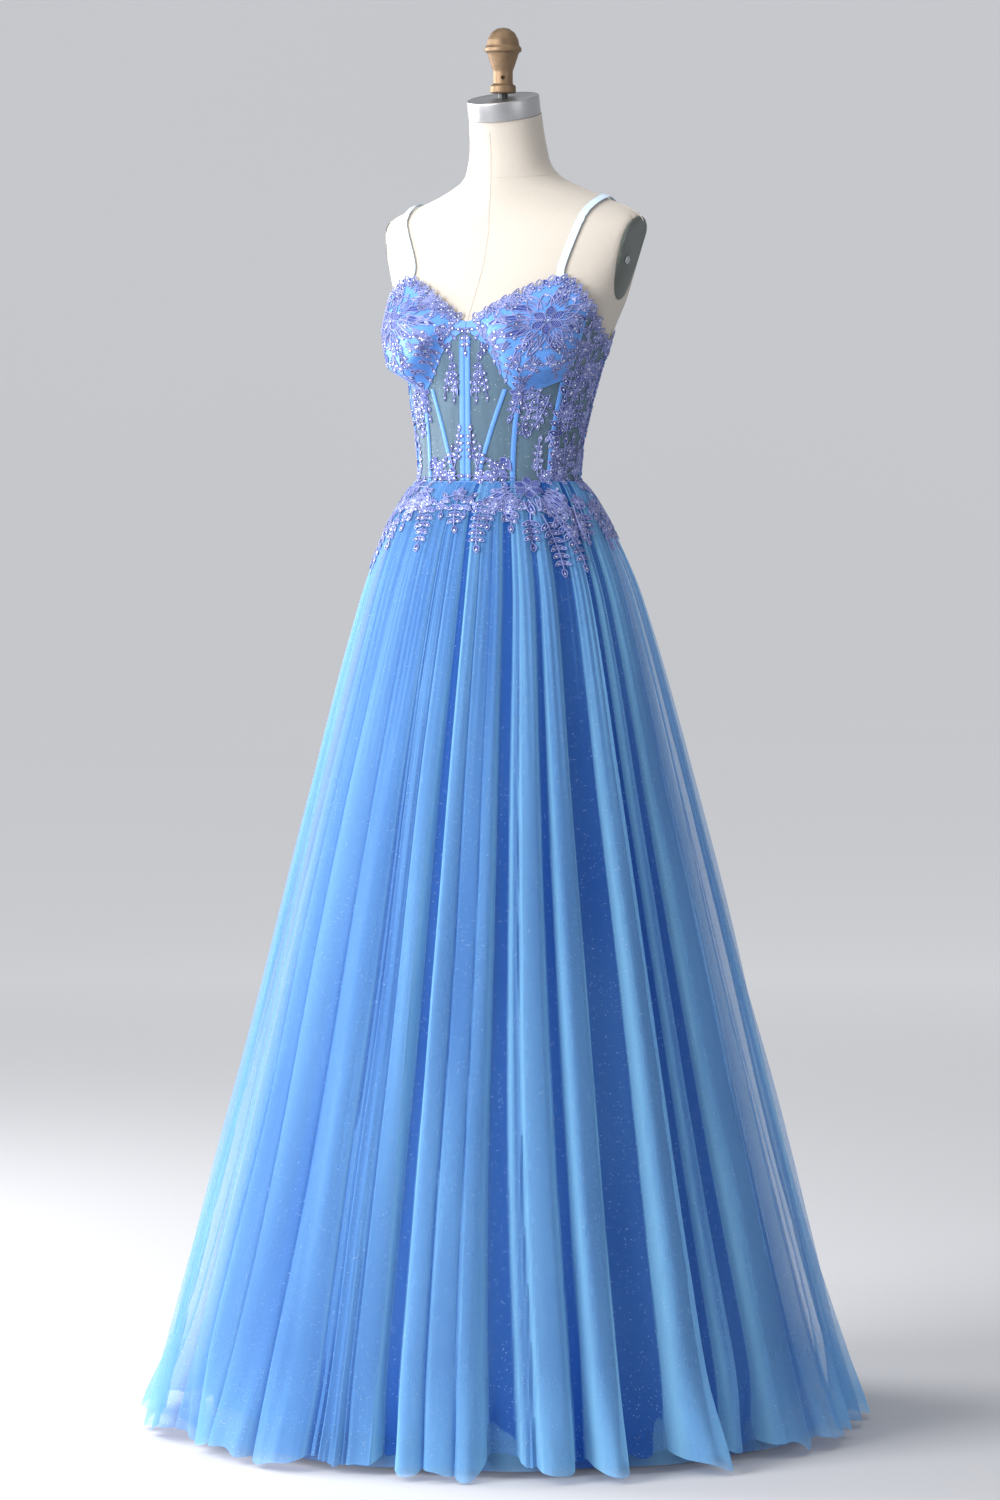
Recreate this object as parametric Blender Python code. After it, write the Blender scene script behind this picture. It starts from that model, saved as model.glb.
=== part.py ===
"""Prom dress on a dress form: metres, +Z up, front towards -Y, the wearer's left at +X.

Angles run round the body from the front (-Y) towards the wearer's left (+X).
The origin is the middle of the underside of the stand's base.
"""
import math
from collections import namedtuple

import bmesh
import bpy
from mathutils import Matrix, Vector
from mathutils.bvhtree import BVHTree

# Cloth and seams
SEAM_GAP = 0.0004          # pieces that meet lie this far apart
LAID_GAP = 0.0006          # what lies on a panel clears its facets by this much
SEAM_ANGLE = 0.12          # the same gap at an upright seam, in degrees each side
CLEAR = 0.0010             # bodice cloth clear of the form
MESH_WALL = 0.0012
CUP_WALL = 0.0022
CHANNEL_WALL = 0.0012
LACE_WALL = 0.0016
TULLE_WALL = 0.0010

# Heights of the dress
WAIST_Z = 1.1765
HEM_Z = 0.0050
LINING_HEM_Z = 0.0400

# Bodice seams, in degrees from the centre front
UNDERCUP_SEAM = 34.0
SIDE_FRONT_SEAM = 62.0
SIDE_BACK_SEAM = 104.0
BACK_OPENING = 178.2
ZIP_HALF_ANGLE = 1.5

# Bust swell of the form, and how much more the moulded cups stand out
FORM_SWELL = 0.008
CUP_SWELL = 0.023
CUP_RISE = 0.028
CUP_FADE_Z = 1.350
CUP_FADE = 0.085

# Zip slider and its pull tab
PIN_Z = 1.3240
PIN_OUT = 0.0052
PIN_RADIUS = 0.0007
EYE_PLAY = 0.0005
SLIDER_WIDTH = 0.0070
SLIDER_THICKNESS = 0.0024
SLIDER_HEIGHT = 0.0100
EAR_THICKNESS = 0.0010
EAR_RADIUS = 0.0016
EAR_PLAY = 0.0004
EAR_SUNK = 0.0008
KNUCKLE_HALF = 0.0012
KNUCKLE_RADIUS = 0.0022
PULL_WIDTH = 0.0022
PULL_THICKNESS = 0.0012
PULL_LENGTH = 0.0200

# Straps
STRAP_WIDTH = 0.009
STRAP_WALL = 0.0010
STRAP_GAP = 0.0008
STRAP_CLEAR = 0.0025
STRAP_ROWS = 38
STRAP_ANGLE = 39.0
STRAP_BACK_ANGLE = 141.0
STRAP_TOP_LEFT_X = 0.124
STRAP_TOP_RIGHT_X = -0.150
STRAP_TOP = (0.040, 1.530)

# Neck cap and finial
NECK_LEAN = math.radians(11.8)
NECK_TOP = Vector((0.0, -0.0005, 1.6262))
CAP_RADIUS = 0.0450
CAP_HEIGHT = 0.0235
STEM_RADIUS = 0.0060
FINIAL_FOOT_Z = 1.6548
FINIAL_AXIS_Y = -0.0050

# Arm plates
PLATE_CENTRE = Vector((0.1635, 0.010, 1.449))
PLATE_LEAN = math.radians(11.0)
PLATE_THICKNESS = 0.003
ARM_CUTTER = (0.12, 0.30, 0.20)
ARM_CUTTER_DROP = 0.072

# Stand
POLE_RADIUS = 0.0140
BASE_RADIUS = 0.1900
BASE_THICKNESS = 0.0120
FLANGE_RADIUS = 0.0450
FLANGE_THICKNESS = 0.0080
FORM_FOOT_Z = 0.8600

Section = namedtuple("Section", "z half_width front back centre_y square")
FORM_SECTIONS = (
    Section(0.860, 0.150, 0.110, 0.122, -0.005, 2.0),
    Section(0.980, 0.160, 0.114, 0.118, -0.005, 2.0),
    Section(1.080, 0.138, 0.101, 0.097, -0.008, 2.0),
    Section(1.130, 0.116, 0.090, 0.080, -0.010, 2.0),
    Section(1.176, 0.1035, 0.0840, 0.0700, -0.011, 2.0),
    Section(1.210, 0.1045, 0.0850, 0.0725, -0.010, 2.0),
    Section(1.240, 0.1090, 0.0860, 0.0780, -0.009, 2.0),
    Section(1.280, 0.1175, 0.0895, 0.0850, -0.006, 2.0),
    Section(1.313, 0.1240, 0.0960, 0.0900, 0.000, 2.0),
    Section(1.340, 0.1320, 0.1020, 0.0940, 0.006, 2.0),
    Section(1.372, 0.1430, 0.1030, 0.0970, 0.011, 2.0),
    Section(1.400, 0.1545, 0.0890, 0.0990, 0.012, 2.1),
    Section(1.440, 0.1680, 0.0670, 0.0960, 0.012, 2.2),
    Section(1.470, 0.1790, 0.0610, 0.0880, 0.016, 2.1),
    Section(1.488, 0.1840, 0.0620, 0.0800, 0.022, 2.0),
    Section(1.500, 0.1790, 0.0680, 0.0700, 0.028, 1.8),
    Section(1.511, 0.1610, 0.0740, 0.0600, 0.035, 1.6),
    Section(1.523, 0.1290, 0.0760, 0.0500, 0.039, 1.5),
    Section(1.536, 0.0970, 0.0730, 0.0410, 0.037, 1.6),
    Section(1.548, 0.0690, 0.0620, 0.0450, 0.027, 1.8),
    Section(1.566, 0.0535, 0.0470, 0.0490, 0.012, 2.0),
    Section(1.586, 0.0490, 0.0430, 0.0480, 0.008, 2.0),
    Section(1.610, 0.0465, 0.0425, 0.0470, 0.003, 2.0),
    Section(1.660, 0.0440, 0.0440, 0.0440, -0.004, 2.0),
)
FORM_ROWS = (0.860, 0.960, 1.060, 1.130, 1.176, 1.204, 1.236, 1.268, 1.292, 1.312,
             1.336, 1.364, 1.392, 1.418, 1.446, 1.472, 1.490, 1.502, 1.512, 1.523, 1.536,
             1.548, 1.564, 1.590, 1.660)
FORM_COLUMNS = 24
FORM_EASE = 0.0028         # the form's facets lie this far inside, below the cloth
FORM_EASE_TOP = 1.400

# Skirt: the outer tulle's crests reach each section; the other layers lie inside it
Ring = namedtuple("Ring", "z half_width front back centre_y square fold inner_inset inner_fold lining_inset")
SKIRT_RINGS = (
    Ring(0.000, 0.4560, 0.4560, 0.4560, 0.000, 2.0, 0.036, 0.0445, 0.014, 0.0700),
    Ring(0.400, 0.3480, 0.3480, 0.3480, -0.001, 2.0, 0.030, 0.0380, 0.012, 0.0570),
    Ring(0.780, 0.2495, 0.2460, 0.2450, -0.004, 2.0, 0.021, 0.0285, 0.008, 0.0430),
    Ring(1.030, 0.1815, 0.1670, 0.1630, -0.006, 2.0, 0.011, 0.0165, 0.004, 0.0250),
    Ring(1.120, 0.1465, 0.1290, 0.1210, -0.011, 2.0, 0.006, 0.0095, 0.002, 0.0150),
    Ring(1.150, 0.1290, 0.1120, 0.1030, -0.011, 2.0, 0.003, 0.0056, 0.001, 0.0092),
    Ring(1.165, 0.1190, 0.1020, 0.0900, -0.011, 2.0, 0.0014, 0.0032, 0.000, 0.0056),
    Ring(WAIST_Z - SEAM_GAP, 0.1090, 0.0890, 0.0755, -0.011, 2.0, 0.000, 0.0015, 0.000, 0.0030),
)

# Folds of the outer tulle: where each starts and ends, in degrees, and how high its crest is
Fold = namedtuple("Fold", "start end height")
FOLDS = (
    Fold(-58.0, -49.0, 0.9), Fold(-49.0, -40.0, 0.95), Fold(-40.0, -32.0, 0.7),
    Fold(-32.0, -24.5, 0.8), Fold(-24.0, -13.5, 1.0), Fold(-13.0, -3.0, 0.9),
    Fold(-1.5, 2.0, 0.5), Fold(3.0, 8.6, 0.9), Fold(12.0, 17.4, 0.9), Fold(17.7, 23.0, 0.7),
    Fold(23.0, 27.5, 0.8), Fold(32.0, 34.4, 0.4), Fold(34.6, 41.0, 1.0), Fold(44.0, 50.7, 1.0),
    Fold(60.0, 67.7, 1.0), Fold(71.5, 75.0, 0.6), Fold(80.0, 90.0, 0.9), Fold(91.0, 99.0, 0.8),
    Fold(100.0, 109.0, 0.7), Fold(110.0, 119.0, 0.95), Fold(120.0, 128.0, 1.0),
    Fold(129.5, 138.0, 0.7), Fold(138.5, 145.0, 0.8), Fold(148.0, 157.0, 1.0),
    Fold(158.0, 164.0, 0.6), Fold(165.0, 173.0, 0.9), Fold(176.0, 184.0, 0.8),
    Fold(185.0, 193.5, 0.9), Fold(196.0, 203.0, 0.7), Fold(203.5, 212.0, 1.0),
    Fold(213.0, 219.0, 0.6), Fold(222.0, 231.0, 0.9), Fold(232.0, 239.0, 0.8),
    Fold(239.5, 246.0, 0.7), Fold(249.0, 258.0, 1.0), Fold(259.0, 265.0, 0.7),
    Fold(266.0, 275.0, 0.9), Fold(278.0, 285.0, 0.8), Fold(285.5, 294.0, 1.0),
    Fold(295.0, 301.5, 0.9),
)
FOLD_ROUNDNESS = 0.8
NARROW_FOLD = 6.0
LEAST_COLUMN = 0.7
INNER_FOLDS = 12
INNER_COLUMNS = 36
LINING_COLUMNS = 28

# Edges of the bodice: height over the angle from the centre front, the same on both sides
Edge = namedtuple("Edge", "degrees z")
TOP_EDGE = (
    Edge(0, 1.3725), Edge(4, 1.3755), Edge(10, 1.3840), Edge(20, 1.3990), Edge(28, 1.4140),
    Edge(35, 1.4220), Edge(40, 1.4235), Edge(48, 1.4160), Edge(56, 1.4020), Edge(62, 1.3900),
    Edge(72, 1.3700), Edge(84, 1.3520), Edge(104, 1.3400), Edge(130, 1.3360), Edge(180, 1.3350),
)
CUP_BASE = (
    Edge(0, 1.3620), Edge(7, 1.3520), Edge(14, 1.3360), Edge(23, 1.3060), Edge(28, 1.2930),
    Edge(33, 1.2870), Edge(45, 1.2890), Edge(62, 1.3000), Edge(90, 1.3100), Edge(180, 1.3100),
)

# Boning channels laid on the panels: degrees and height at the foot and at the head
Channel = namedtuple("Channel", "name foot_degrees foot_z head_degrees head_z width")
FOOT_Z = WAIST_Z + 0.0016
CHANNELS = (
    Channel("channel_centre", 0.0, FOOT_Z, 0.0, 1.3545, 0.0150),
    Channel("channel_diagonal_left", 9.0, FOOT_Z, 25.2, 1.2900, 0.0060),
    Channel("channel_diagonal_right", -9.0, FOOT_Z, -25.2, 1.2900, 0.0060),
    Channel("channel_undercup_left", 34.0, FOOT_Z, 33.6, 1.2860, 0.0065),
    Channel("channel_undercup_right", -34.0, FOOT_Z, -33.6, 1.2860, 0.0065),
    Channel("channel_side_left", 62.0, FOOT_Z, 62.0, 1.2985, 0.0065),
    Channel("channel_side_right", -62.0, FOOT_Z, -62.0, 1.2985, 0.0065),
    Channel("channel_back_left", 104.0, FOOT_Z, 104.0, 1.3385, 0.0065),
    Channel("channel_back_right", -104.0, FOOT_Z, -104.0, 1.3385, 0.0065),
)

# Colours: base colour, roughness, metallic
Paint = namedtuple("Paint", "colour roughness metallic")
SATIN = Paint((0.16, 0.40, 0.86), 0.38, 0.0)
SHEER_MESH = Paint((0.28, 0.44, 0.56), 0.60, 0.0)
TULLE = Paint((0.20, 0.48, 0.92), 0.70, 0.0)
TULLE_INNER = Paint((0.12, 0.34, 0.82), 0.70, 0.0)
LINING = Paint((0.07, 0.22, 0.66), 0.50, 0.0)
LACE = Paint((0.24, 0.27, 0.68), 0.55, 0.0)
CANVAS = Paint((0.86, 0.79, 0.69), 0.85, 0.0)
STEEL = Paint((0.45, 0.46, 0.48), 0.35, 1.0)
BRONZE = Paint((0.28, 0.18, 0.10), 0.45, 0.9)
PLATE_GREY = Paint((0.12, 0.14, 0.13), 0.50, 0.4)
BLACK_STEEL = Paint((0.03, 0.03, 0.03), 0.45, 0.8)
ZIP_METAL = Paint((0.45, 0.52, 0.62), 0.30, 1.0)


# Helpers for the scene
def clear_scene():
    for item in list(bpy.data.objects):
        bpy.data.objects.remove(item, do_unlink=True)


def new_collection(name):
    collection = bpy.data.collections.new(name)
    bpy.context.scene.collection.children.link(collection)
    return collection


def material(name, paint):
    made = bpy.data.materials.new(name)
    made.use_nodes = True
    shader = made.node_tree.nodes["Principled BSDF"]
    shader.inputs["Base Color"].default_value = (*paint.colour, 1.0)
    shader.inputs["Roughness"].default_value = paint.roughness
    shader.inputs["Metallic"].default_value = paint.metallic
    made.diffuse_color = (*paint.colour, 1.0)
    return made


def finish_object(name, mesh_cage, paint, smooth_angle=35.0):
    """Turn a bmesh into a named object with its own material."""
    bmesh.ops.recalc_face_normals(mesh_cage, faces=mesh_cage.faces)
    mesh = bpy.data.meshes.new(name)
    mesh_cage.to_mesh(mesh)
    mesh_cage.free()
    mesh.shade_smooth()
    mesh.set_sharp_from_angle(angle=math.radians(smooth_angle))
    made = bpy.data.objects.new(name, mesh)
    made.data.materials.append(material(name, paint))
    PARTS.objects.link(made)
    return made


# Curves and surfaces of the body and the dress
def smooth(value):
    value = min(max(value, 0.0), 1.0)
    return value * value * (3.0 - 2.0 * value)


def table_value(rows, key, column, place):
    """Value of a column at a place along the key, on a smooth curve through the rows."""
    if place <= getattr(rows[0], key):
        return getattr(rows[0], column)
    if place >= getattr(rows[-1], key):
        return getattr(rows[-1], column)
    index = 0
    while getattr(rows[index + 1], key) < place:
        index += 1
    around_rows = [rows[min(max(i, 0), len(rows) - 1)] for i in range(index - 1, index + 3)]
    keys = [getattr(row, key) for row in around_rows]
    values = [getattr(row, column) for row in around_rows]
    span = keys[2] - keys[1]
    slope_in = (values[2] - values[0]) / (keys[2] - keys[0]) * span
    slope_out = (values[3] - values[1]) / (keys[3] - keys[1]) * span
    t = (place - keys[1]) / span
    return ((2 * t ** 3 - 3 * t ** 2 + 1) * values[1] + (t ** 3 - 2 * t ** 2 + t) * slope_in
            + (3 * t ** 2 - 2 * t ** 3) * values[2] + (t ** 3 - t ** 2) * slope_out)


def section_at(rows, z):
    return Section(z, *(table_value(rows, "z", name, z) for name in Section._fields[1:]))


def on_section(section, angle, lift):
    """Point of a level section at an angle, moved out by lift along its level normal."""
    power = 2.0 / section.square
    sine = math.sin(angle)
    cosine = math.cos(angle)
    depth = section.front if cosine > 0.0 else section.back
    across = math.copysign(abs(sine) ** power, sine)
    forward = math.copysign(abs(cosine) ** power, cosine)
    normal = Vector((math.copysign(abs(across) ** (section.square - 1.0), sine) / section.half_width,
                     -math.copysign(abs(forward) ** (section.square - 1.0), cosine) / depth, 0.0))
    point = Vector((section.half_width * across, section.centre_y - depth * forward, section.z))
    return point + normal.normalized() * lift


def edge_height(edge, degrees):
    return table_value(edge, "degrees", "z", abs(degrees))


def swell(degrees, z):
    """How full the bust is at a place, from 0 to 1."""
    side = abs(degrees)
    across = smooth((side - 1.0) / 26.0) * (1.0 - smooth((side - 46.0) / 40.0))
    rise = smooth((z - edge_height(CUP_BASE, side)) / CUP_RISE)
    return across * rise * (1.0 - smooth((z - CUP_FADE_Z) / CUP_FADE))


def form_point(degrees, z, lift=0.0):
    section = section_at(FORM_SECTIONS, z)
    return on_section(section, math.radians(degrees), lift + FORM_SWELL * swell(degrees, z))


def bodice_point(degrees, z, lift=0.0):
    """Point over the form where the bodice lies: the cups stand out further than the form."""
    return form_point(degrees, z, lift + CLEAR + CUP_SWELL * swell(degrees, z))


def ring_value(column, z):
    return table_value(SKIRT_RINGS, "z", column, z)


def skirt_point(degrees, z, lift=0.0):
    """Point of the skirt's smooth outer form, which the crests of its folds reach."""
    return on_section(section_at(SKIRT_RINGS, z), math.radians(degrees), lift)


def fold_height(degrees):
    """Height of the outer tulle at an angle: 0 in a valley, up to 1 on a crest."""
    degrees = (degrees - FOLDS[0].start) % 360.0 + FOLDS[0].start
    for fold in FOLDS:
        if fold.start < degrees < fold.end:
            share = (degrees - fold.start) / (fold.end - fold.start)
            return fold.height * math.sin(math.pi * share) ** FOLD_ROUNDNESS
    return 0.0


def fold_columns():
    """Angles of the outer tulle's columns: the feet and the rounded top of every fold."""
    angles = []
    for fold in FOLDS:
        wide = fold.end - fold.start > NARROW_FOLD
        shares = (0.0, 0.3, 0.7, 1.0) if wide else (0.0, 0.5, 1.0)
        for share in shares:
            angle = fold.start + share * (fold.end - fold.start)
            if not angles or angle - angles[-1] >= LEAST_COLUMN:
                angles.append(angle)
    if angles[0] + 360.0 - angles[-1] < LEAST_COLUMN:
        angles.pop()
    return angles + [angles[0] + 360.0]


# Walls and lace
def wall(name, columns, rows, place, inner, outer, paint, closed=False):
    """A cloth wall: a grid laid on a surface and given its thickness.

    place(column, row, lift) gives the point of a grid place, moved out by lift.
    """
    cage = bmesh.new()
    bmesh.ops.create_grid(cage, x_segments=columns, y_segments=rows, size=1.0)
    column_of = cage.verts.layers.float.new("column")
    row_of = cage.verts.layers.float.new("row")
    for vertex in cage.verts:
        vertex[column_of] = round((vertex.co.x + 1.0) / 2.0 * columns)
        vertex[row_of] = round((vertex.co.y + 1.0) / 2.0 * rows)
        vertex.co = place(int(vertex[column_of]), int(vertex[row_of]), inner)
    if closed:
        bmesh.ops.remove_doubles(cage, verts=cage.verts, dist=0.00001)
    grown = bmesh.ops.extrude_face_region(cage, geom=cage.faces[:])
    for vertex in grown["geom"]:
        if isinstance(vertex, bmesh.types.BMVert):
            vertex.co = place(int(vertex[column_of]), int(vertex[row_of]), outer)
    return finish_object(name, cage, paint)


def spaced(start, end, count, index):
    return start + (end - start) * index / count


def grow(cage, edge, heading, steps):
    """Extrude an edge of a flat piece along a heading, through steps of length, half width, bend.

    A half width of 0 ends in a point. Returns the left and the right side edge of each step.
    """
    sides = []
    for length, half_width, bend in steps:
        heading += bend
        forward = Vector((math.cos(heading), math.sin(heading), 0.0))
        leftward = Vector((-forward.y, forward.x, 0.0))
        old = sorted(edge.verts, key=lambda v: v.co.dot(leftward), reverse=True)
        middle = (old[0].co + old[1].co) / 2.0 + forward * length
        made = bmesh.ops.extrude_edge_only(cage, edges=[edge])["geom"]
        fresh = [item for item in made if isinstance(item, bmesh.types.BMVert)]
        fresh.sort(key=lambda v: (v.co - old[0].co).length)
        fresh[0].co = middle + leftward * half_width
        fresh[1].co = middle - leftward * half_width
        if half_width == 0.0:
            bmesh.ops.pointmerge(cage, verts=fresh, merge_co=middle)
            break
        left = next(e for e in fresh[0].link_edges if old[0] in e.verts)
        right = next(e for e in fresh[1].link_edges if old[1] in e.verts)
        sides.append((left, right, heading))
        edge = next(e for e in fresh[0].link_edges if fresh[1] in e.verts)
    return edge, heading, sides


def leaf(cage, edge, heading, length, width):
    grow(cage, edge, heading, ((0.48 * length, width / 2.0, 0.0), (0.52 * length, 0.0, 0.0)))


STEM_HALF = 0.0008
LEAF_FOOT = 0.0032
LEAF_SPREAD = math.radians(46.0)


def spray(cage, edge, heading, stem):
    """A stem with pairs of leaves and a leaf at its tip, grown from an edge of a rosette."""
    bend = math.radians(stem.bend) / max(stem.pairs, 1)
    edge, heading, sides = grow(cage, edge, heading, ((stem.bare, STEM_HALF, 0.0),))
    for index in range(stem.pairs):
        size = stem.leaf * (1.0 - 0.25 * index / stem.pairs)
        edge, heading, sides = grow(cage, edge, heading, ((LEAF_FOOT, STEM_HALF, bend),))
        left, right, along = sides[0]
        leaf(cage, left, along + LEAF_SPREAD, size, 0.5 * size)
        leaf(cage, right, along - LEAF_SPREAD, size, 0.5 * size)
        edge, heading, sides = grow(cage, edge, heading, ((0.62 * stem.leaf, STEM_HALF, 0.0),))
    leaf(cage, edge, heading, stem.leaf, 0.45 * stem.leaf)


# A motif is a rosette of petals, with sprays that grow out between its petals.
# A slot counts the gaps between petals; bend is the whole turn of the stem, in degrees.
# The gap is how far the motif clears the facets below it.
Stem = namedtuple("Stem", "slot bare bend leaf pairs")
Motif = namedtuple("Motif", "name on degrees z turn petals petal width gap stems")
FACET_REACH = 0.005
CREST_SHORT = 0.14         # the faceted crests fall this share of a fold short of the smooth form
MIDDLE_MOTIF = Motif("lace_waist_front", "skirt", 1.0, 1.162, 90, 5, 0.010, 0.0065, 0.0006, (
    Stem(2, 0.012, 12, 0.012, 3), Stem(1, 0.012, 52, 0.011, 1), Stem(3, 0.012, -52, 0.011, 1)))
LEFT_MOTIFS = (
    Motif("lace_cup", "bodice", 42.0, 1.374, 90, 6, 0.021, 0.0110, 0.0013, (
        Stem(1, 0.022, 16, 0.013, 1), Stem(2, 0.022, -20, 0.012, 1),
        Stem(3, 0.022, 25, 0.012, 1), Stem(4, 0.021, -30, 0.012, 1))),
    Motif("lace_bust", "bodice", 18.0, 1.351, 90, 5, 0.009, 0.0060, 0.0015, (
        Stem(2, 0.009, 0, 0.009, 1),)),
    Motif("lace_side", "bodice", 83.0, 1.314, 90, 6, 0.014, 0.0080, 0.0007, (
        Stem(1, 0.015, 45, 0.011, 1), Stem(2, 0.015, 20, 0.013, 2), Stem(3, 0.015, -20, 0.013, 2))),
    Motif("lace_waist_flower", "skirt", 44.0, 1.167, 90, 6, 0.016, 0.0090, 0.0006, (
        Stem(3, 0.017, -8, 0.013, 4), Stem(2, 0.017, 25, 0.012, 2), Stem(1, 0.017, 30, 0.011, 1))),
    Motif("lace_waist_side", "skirt", 77.0, 1.152, 90, 5, 0.011, 0.0070, 0.0006, (
        Stem(2, 0.013, -10, 0.012, 3), Stem(3, 0.013, -60, 0.012, 2))),
    Motif("lace_waist_back", "skirt", 118.0, 1.156, 90, 5, 0.012, 0.0075, 0.0006, (
        Stem(2, 0.014, 12, 0.012, 3), Stem(3, 0.014, -55, 0.012, 1))),
)


def mirrored(plan):
    """The same motif on the right side of the body."""
    stems = tuple(stem._replace(slot=plan.petals - 1 - stem.slot, bend=-stem.bend) for stem in plan.stems)
    return plan._replace(name=plan.name + "_right", degrees=-plan.degrees, turn=180 - plan.turn, stems=stems)


def bodice_skin():
    """All bodice pieces as one skin, so that lace can be laid on their own points."""
    corners = []
    faces = []
    for piece in PARTS.objects:
        if piece.name.startswith(("bodice_", "cup_", "channel_")):
            start = len(corners)
            corners += [vertex.co.copy() for vertex in piece.data.vertices]
            faces += [[start + index for index in face.vertices] for face in piece.data.polygons]
    return BVHTree.FromPolygons(corners, faces)


def facet_lift(skin, degrees, z):
    """How far the outermost bodice facet lies out from the smooth surface at a place."""
    base = bodice_point(degrees, z)
    outward = (bodice_point(degrees, z, 0.01) - base).normalized()
    hit = skin.ray_cast(base + outward * 0.02, -outward, 0.022)[0]
    return (hit - base).dot(outward) if hit else 0.0


def lace_ground(skin, plan, degrees, z, lift):
    """Point where lace lies, a little clear of all facets close by."""
    if plan.on == "skirt":
        return skirt_point(degrees, z, lift + plan.gap - CREST_SHORT * ring_value("fold", z))
    arc = (bodice_point(degrees + 1.0, z) - bodice_point(degrees, z)).length
    reach = FACET_REACH / arc
    steps = ((0, 0), (reach, 0), (-reach, 0), (0, FACET_REACH), (0, -FACET_REACH))
    highest = max(facet_lift(skin, degrees + aside, z + up) for aside, up in steps)
    return bodice_point(degrees, z, highest + plan.gap + lift)


def motif(plan, skin):
    """Lace as one raised piece: drawn flat, laid on its surface, then given its thickness."""
    surface = bodice_point if plan.on == "bodice" else skirt_point
    cage = bmesh.new()
    sides = 2 * plan.petals
    hub = plan.width * 0.42 / (2.0 * math.sin(math.pi / sides))
    bmesh.ops.create_circle(cage, cap_ends=True, segments=sides, radius=hub)
    bmesh.ops.rotate(cage, verts=cage.verts, cent=(0, 0, 0),
                     matrix=Matrix.Rotation(math.radians(plan.turn) + math.pi / sides, 3, "Z"))
    rim = sorted(cage.edges, key=lambda e: (math.atan2(*reversed((e.verts[0].co + e.verts[1].co)[:2]))
                                            - math.radians(plan.turn) + 0.01) % math.tau)
    for index, edge in enumerate(rim):
        centre = (edge.verts[0].co + edge.verts[1].co) / 2.0
        heading = math.atan2(centre.y, centre.x)
        stem = next((s for s in plan.stems if 2 * s.slot + 1 == index), None)
        if index % 2 == 0:
            reach = plan.petal - hub
            grow(cage, edge, heading, ((0.62 * reach, plan.width / 2.0, 0.0), (0.38 * reach, 0.0, 0.0)))
        elif stem:
            spray(cage, edge, heading, stem)
    across_of = cage.verts.layers.float.new("across")
    up_of = cage.verts.layers.float.new("up")
    for vertex in cage.verts:
        vertex[across_of] = vertex.co.x
        vertex[up_of] = vertex.co.y

    small = 0.1
    right = (surface(plan.degrees + small, plan.z) - surface(plan.degrees - small, plan.z)) / (2 * small)
    rise = (surface(plan.degrees, plan.z + 0.002) - surface(plan.degrees, plan.z - 0.002)) / 0.004

    def laid(vertex, lift):
        z = plan.z + vertex[up_of] / rise.length
        return lace_ground(skin, plan, plan.degrees + vertex[across_of] / right.length, z, lift)

    for vertex in cage.verts:
        vertex.co = laid(vertex, 0.0)
    grown = bmesh.ops.extrude_face_region(cage, geom=cage.faces[:])
    for vertex in grown["geom"]:
        if isinstance(vertex, bmesh.types.BMVert):
            vertex.co = laid(vertex, LACE_WALL)
    return finish_object(plan.name, cage, LACE)


# Dress form
def cut_flat(cage, point, normal):
    """Cut a closed cage off at a plane and close the cut with a flat face."""
    geometry = cage.verts[:] + cage.edges[:] + cage.faces[:]
    cut = bmesh.ops.bisect_plane(cage, geom=geometry, dist=0.00001, plane_co=point,
                                 plane_no=normal, clear_outer=True)
    edges = [item for item in cut["geom_cut"] if isinstance(item, bmesh.types.BMEdge)]
    bmesh.ops.edgenet_fill(cage, edges=edges)


def form_torso():
    cage = bmesh.new()
    rows = len(FORM_ROWS) - 1
    bmesh.ops.create_grid(cage, x_segments=FORM_COLUMNS, y_segments=rows, size=1.0)
    for vertex in cage.verts:
        column = round((vertex.co.x + 1.0) / 2.0 * FORM_COLUMNS)
        row = round((vertex.co.y + 1.0) / 2.0 * rows)
        ease = FORM_EASE * (1.0 - smooth((FORM_ROWS[row] - FORM_EASE_TOP) / 0.030))
        vertex.co = form_point(column * 360.0 / FORM_COLUMNS, FORM_ROWS[row], -ease)
    bmesh.ops.remove_doubles(cage, verts=cage.verts, dist=0.00001)
    bmesh.ops.holes_fill(cage, edges=[edge for edge in cage.edges if edge.is_boundary], sides=0)
    bmesh.ops.recalc_face_normals(cage, faces=cage.faces)
    cut_flat(cage, NECK_TOP, Vector((0.0, -math.sin(NECK_LEAN), math.cos(NECK_LEAN))))
    arm_plates(cage)
    skin = BVHTree.FromBMesh(cage)
    torso = finish_object("form_torso", cage, CANVAS, smooth_angle=50.0)
    for side, word in ((1.0, "left"), (-1.0, "right")):
        cut = torso.modifiers.new("arm_cut_" + word, "BOOLEAN")
        cut.operation = "DIFFERENCE"
        cut.object = arm_cutter("arm_cutter_" + word, side)
    return skin


def arm_frame(side):
    """The point and the outward direction of the flat cut on one arm."""
    centre = Vector((side * PLATE_CENTRE.x, PLATE_CENTRE.y, PLATE_CENTRE.z))
    return centre, Vector((side * math.cos(PLATE_LEAN), 0.0, -math.sin(PLATE_LEAN)))


def arm_cutter(name, side):
    """A box that lies outside the flat cut of one arm."""
    width, depth, height = ARM_CUTTER
    centre, outward = arm_frame(side)
    cage = bmesh.new()
    bmesh.ops.create_cube(cage, size=1.0)
    bmesh.ops.scale(cage, verts=cage.verts, vec=(width, depth, height))
    bmesh.ops.rotate(cage, verts=cage.verts, cent=(0, 0, 0),
                     matrix=Matrix.Rotation(side * PLATE_LEAN, 3, "Y"))
    upward = Vector((-outward.z * side, 0.0, outward.x * side))
    bmesh.ops.translate(cage, verts=cage.verts,
                        vec=centre + outward * width / 2.0 + upward * (height / 2.0 - ARM_CUTTER_DROP))
    return hidden_tool(finish_object(name, cage, CANVAS))


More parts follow.
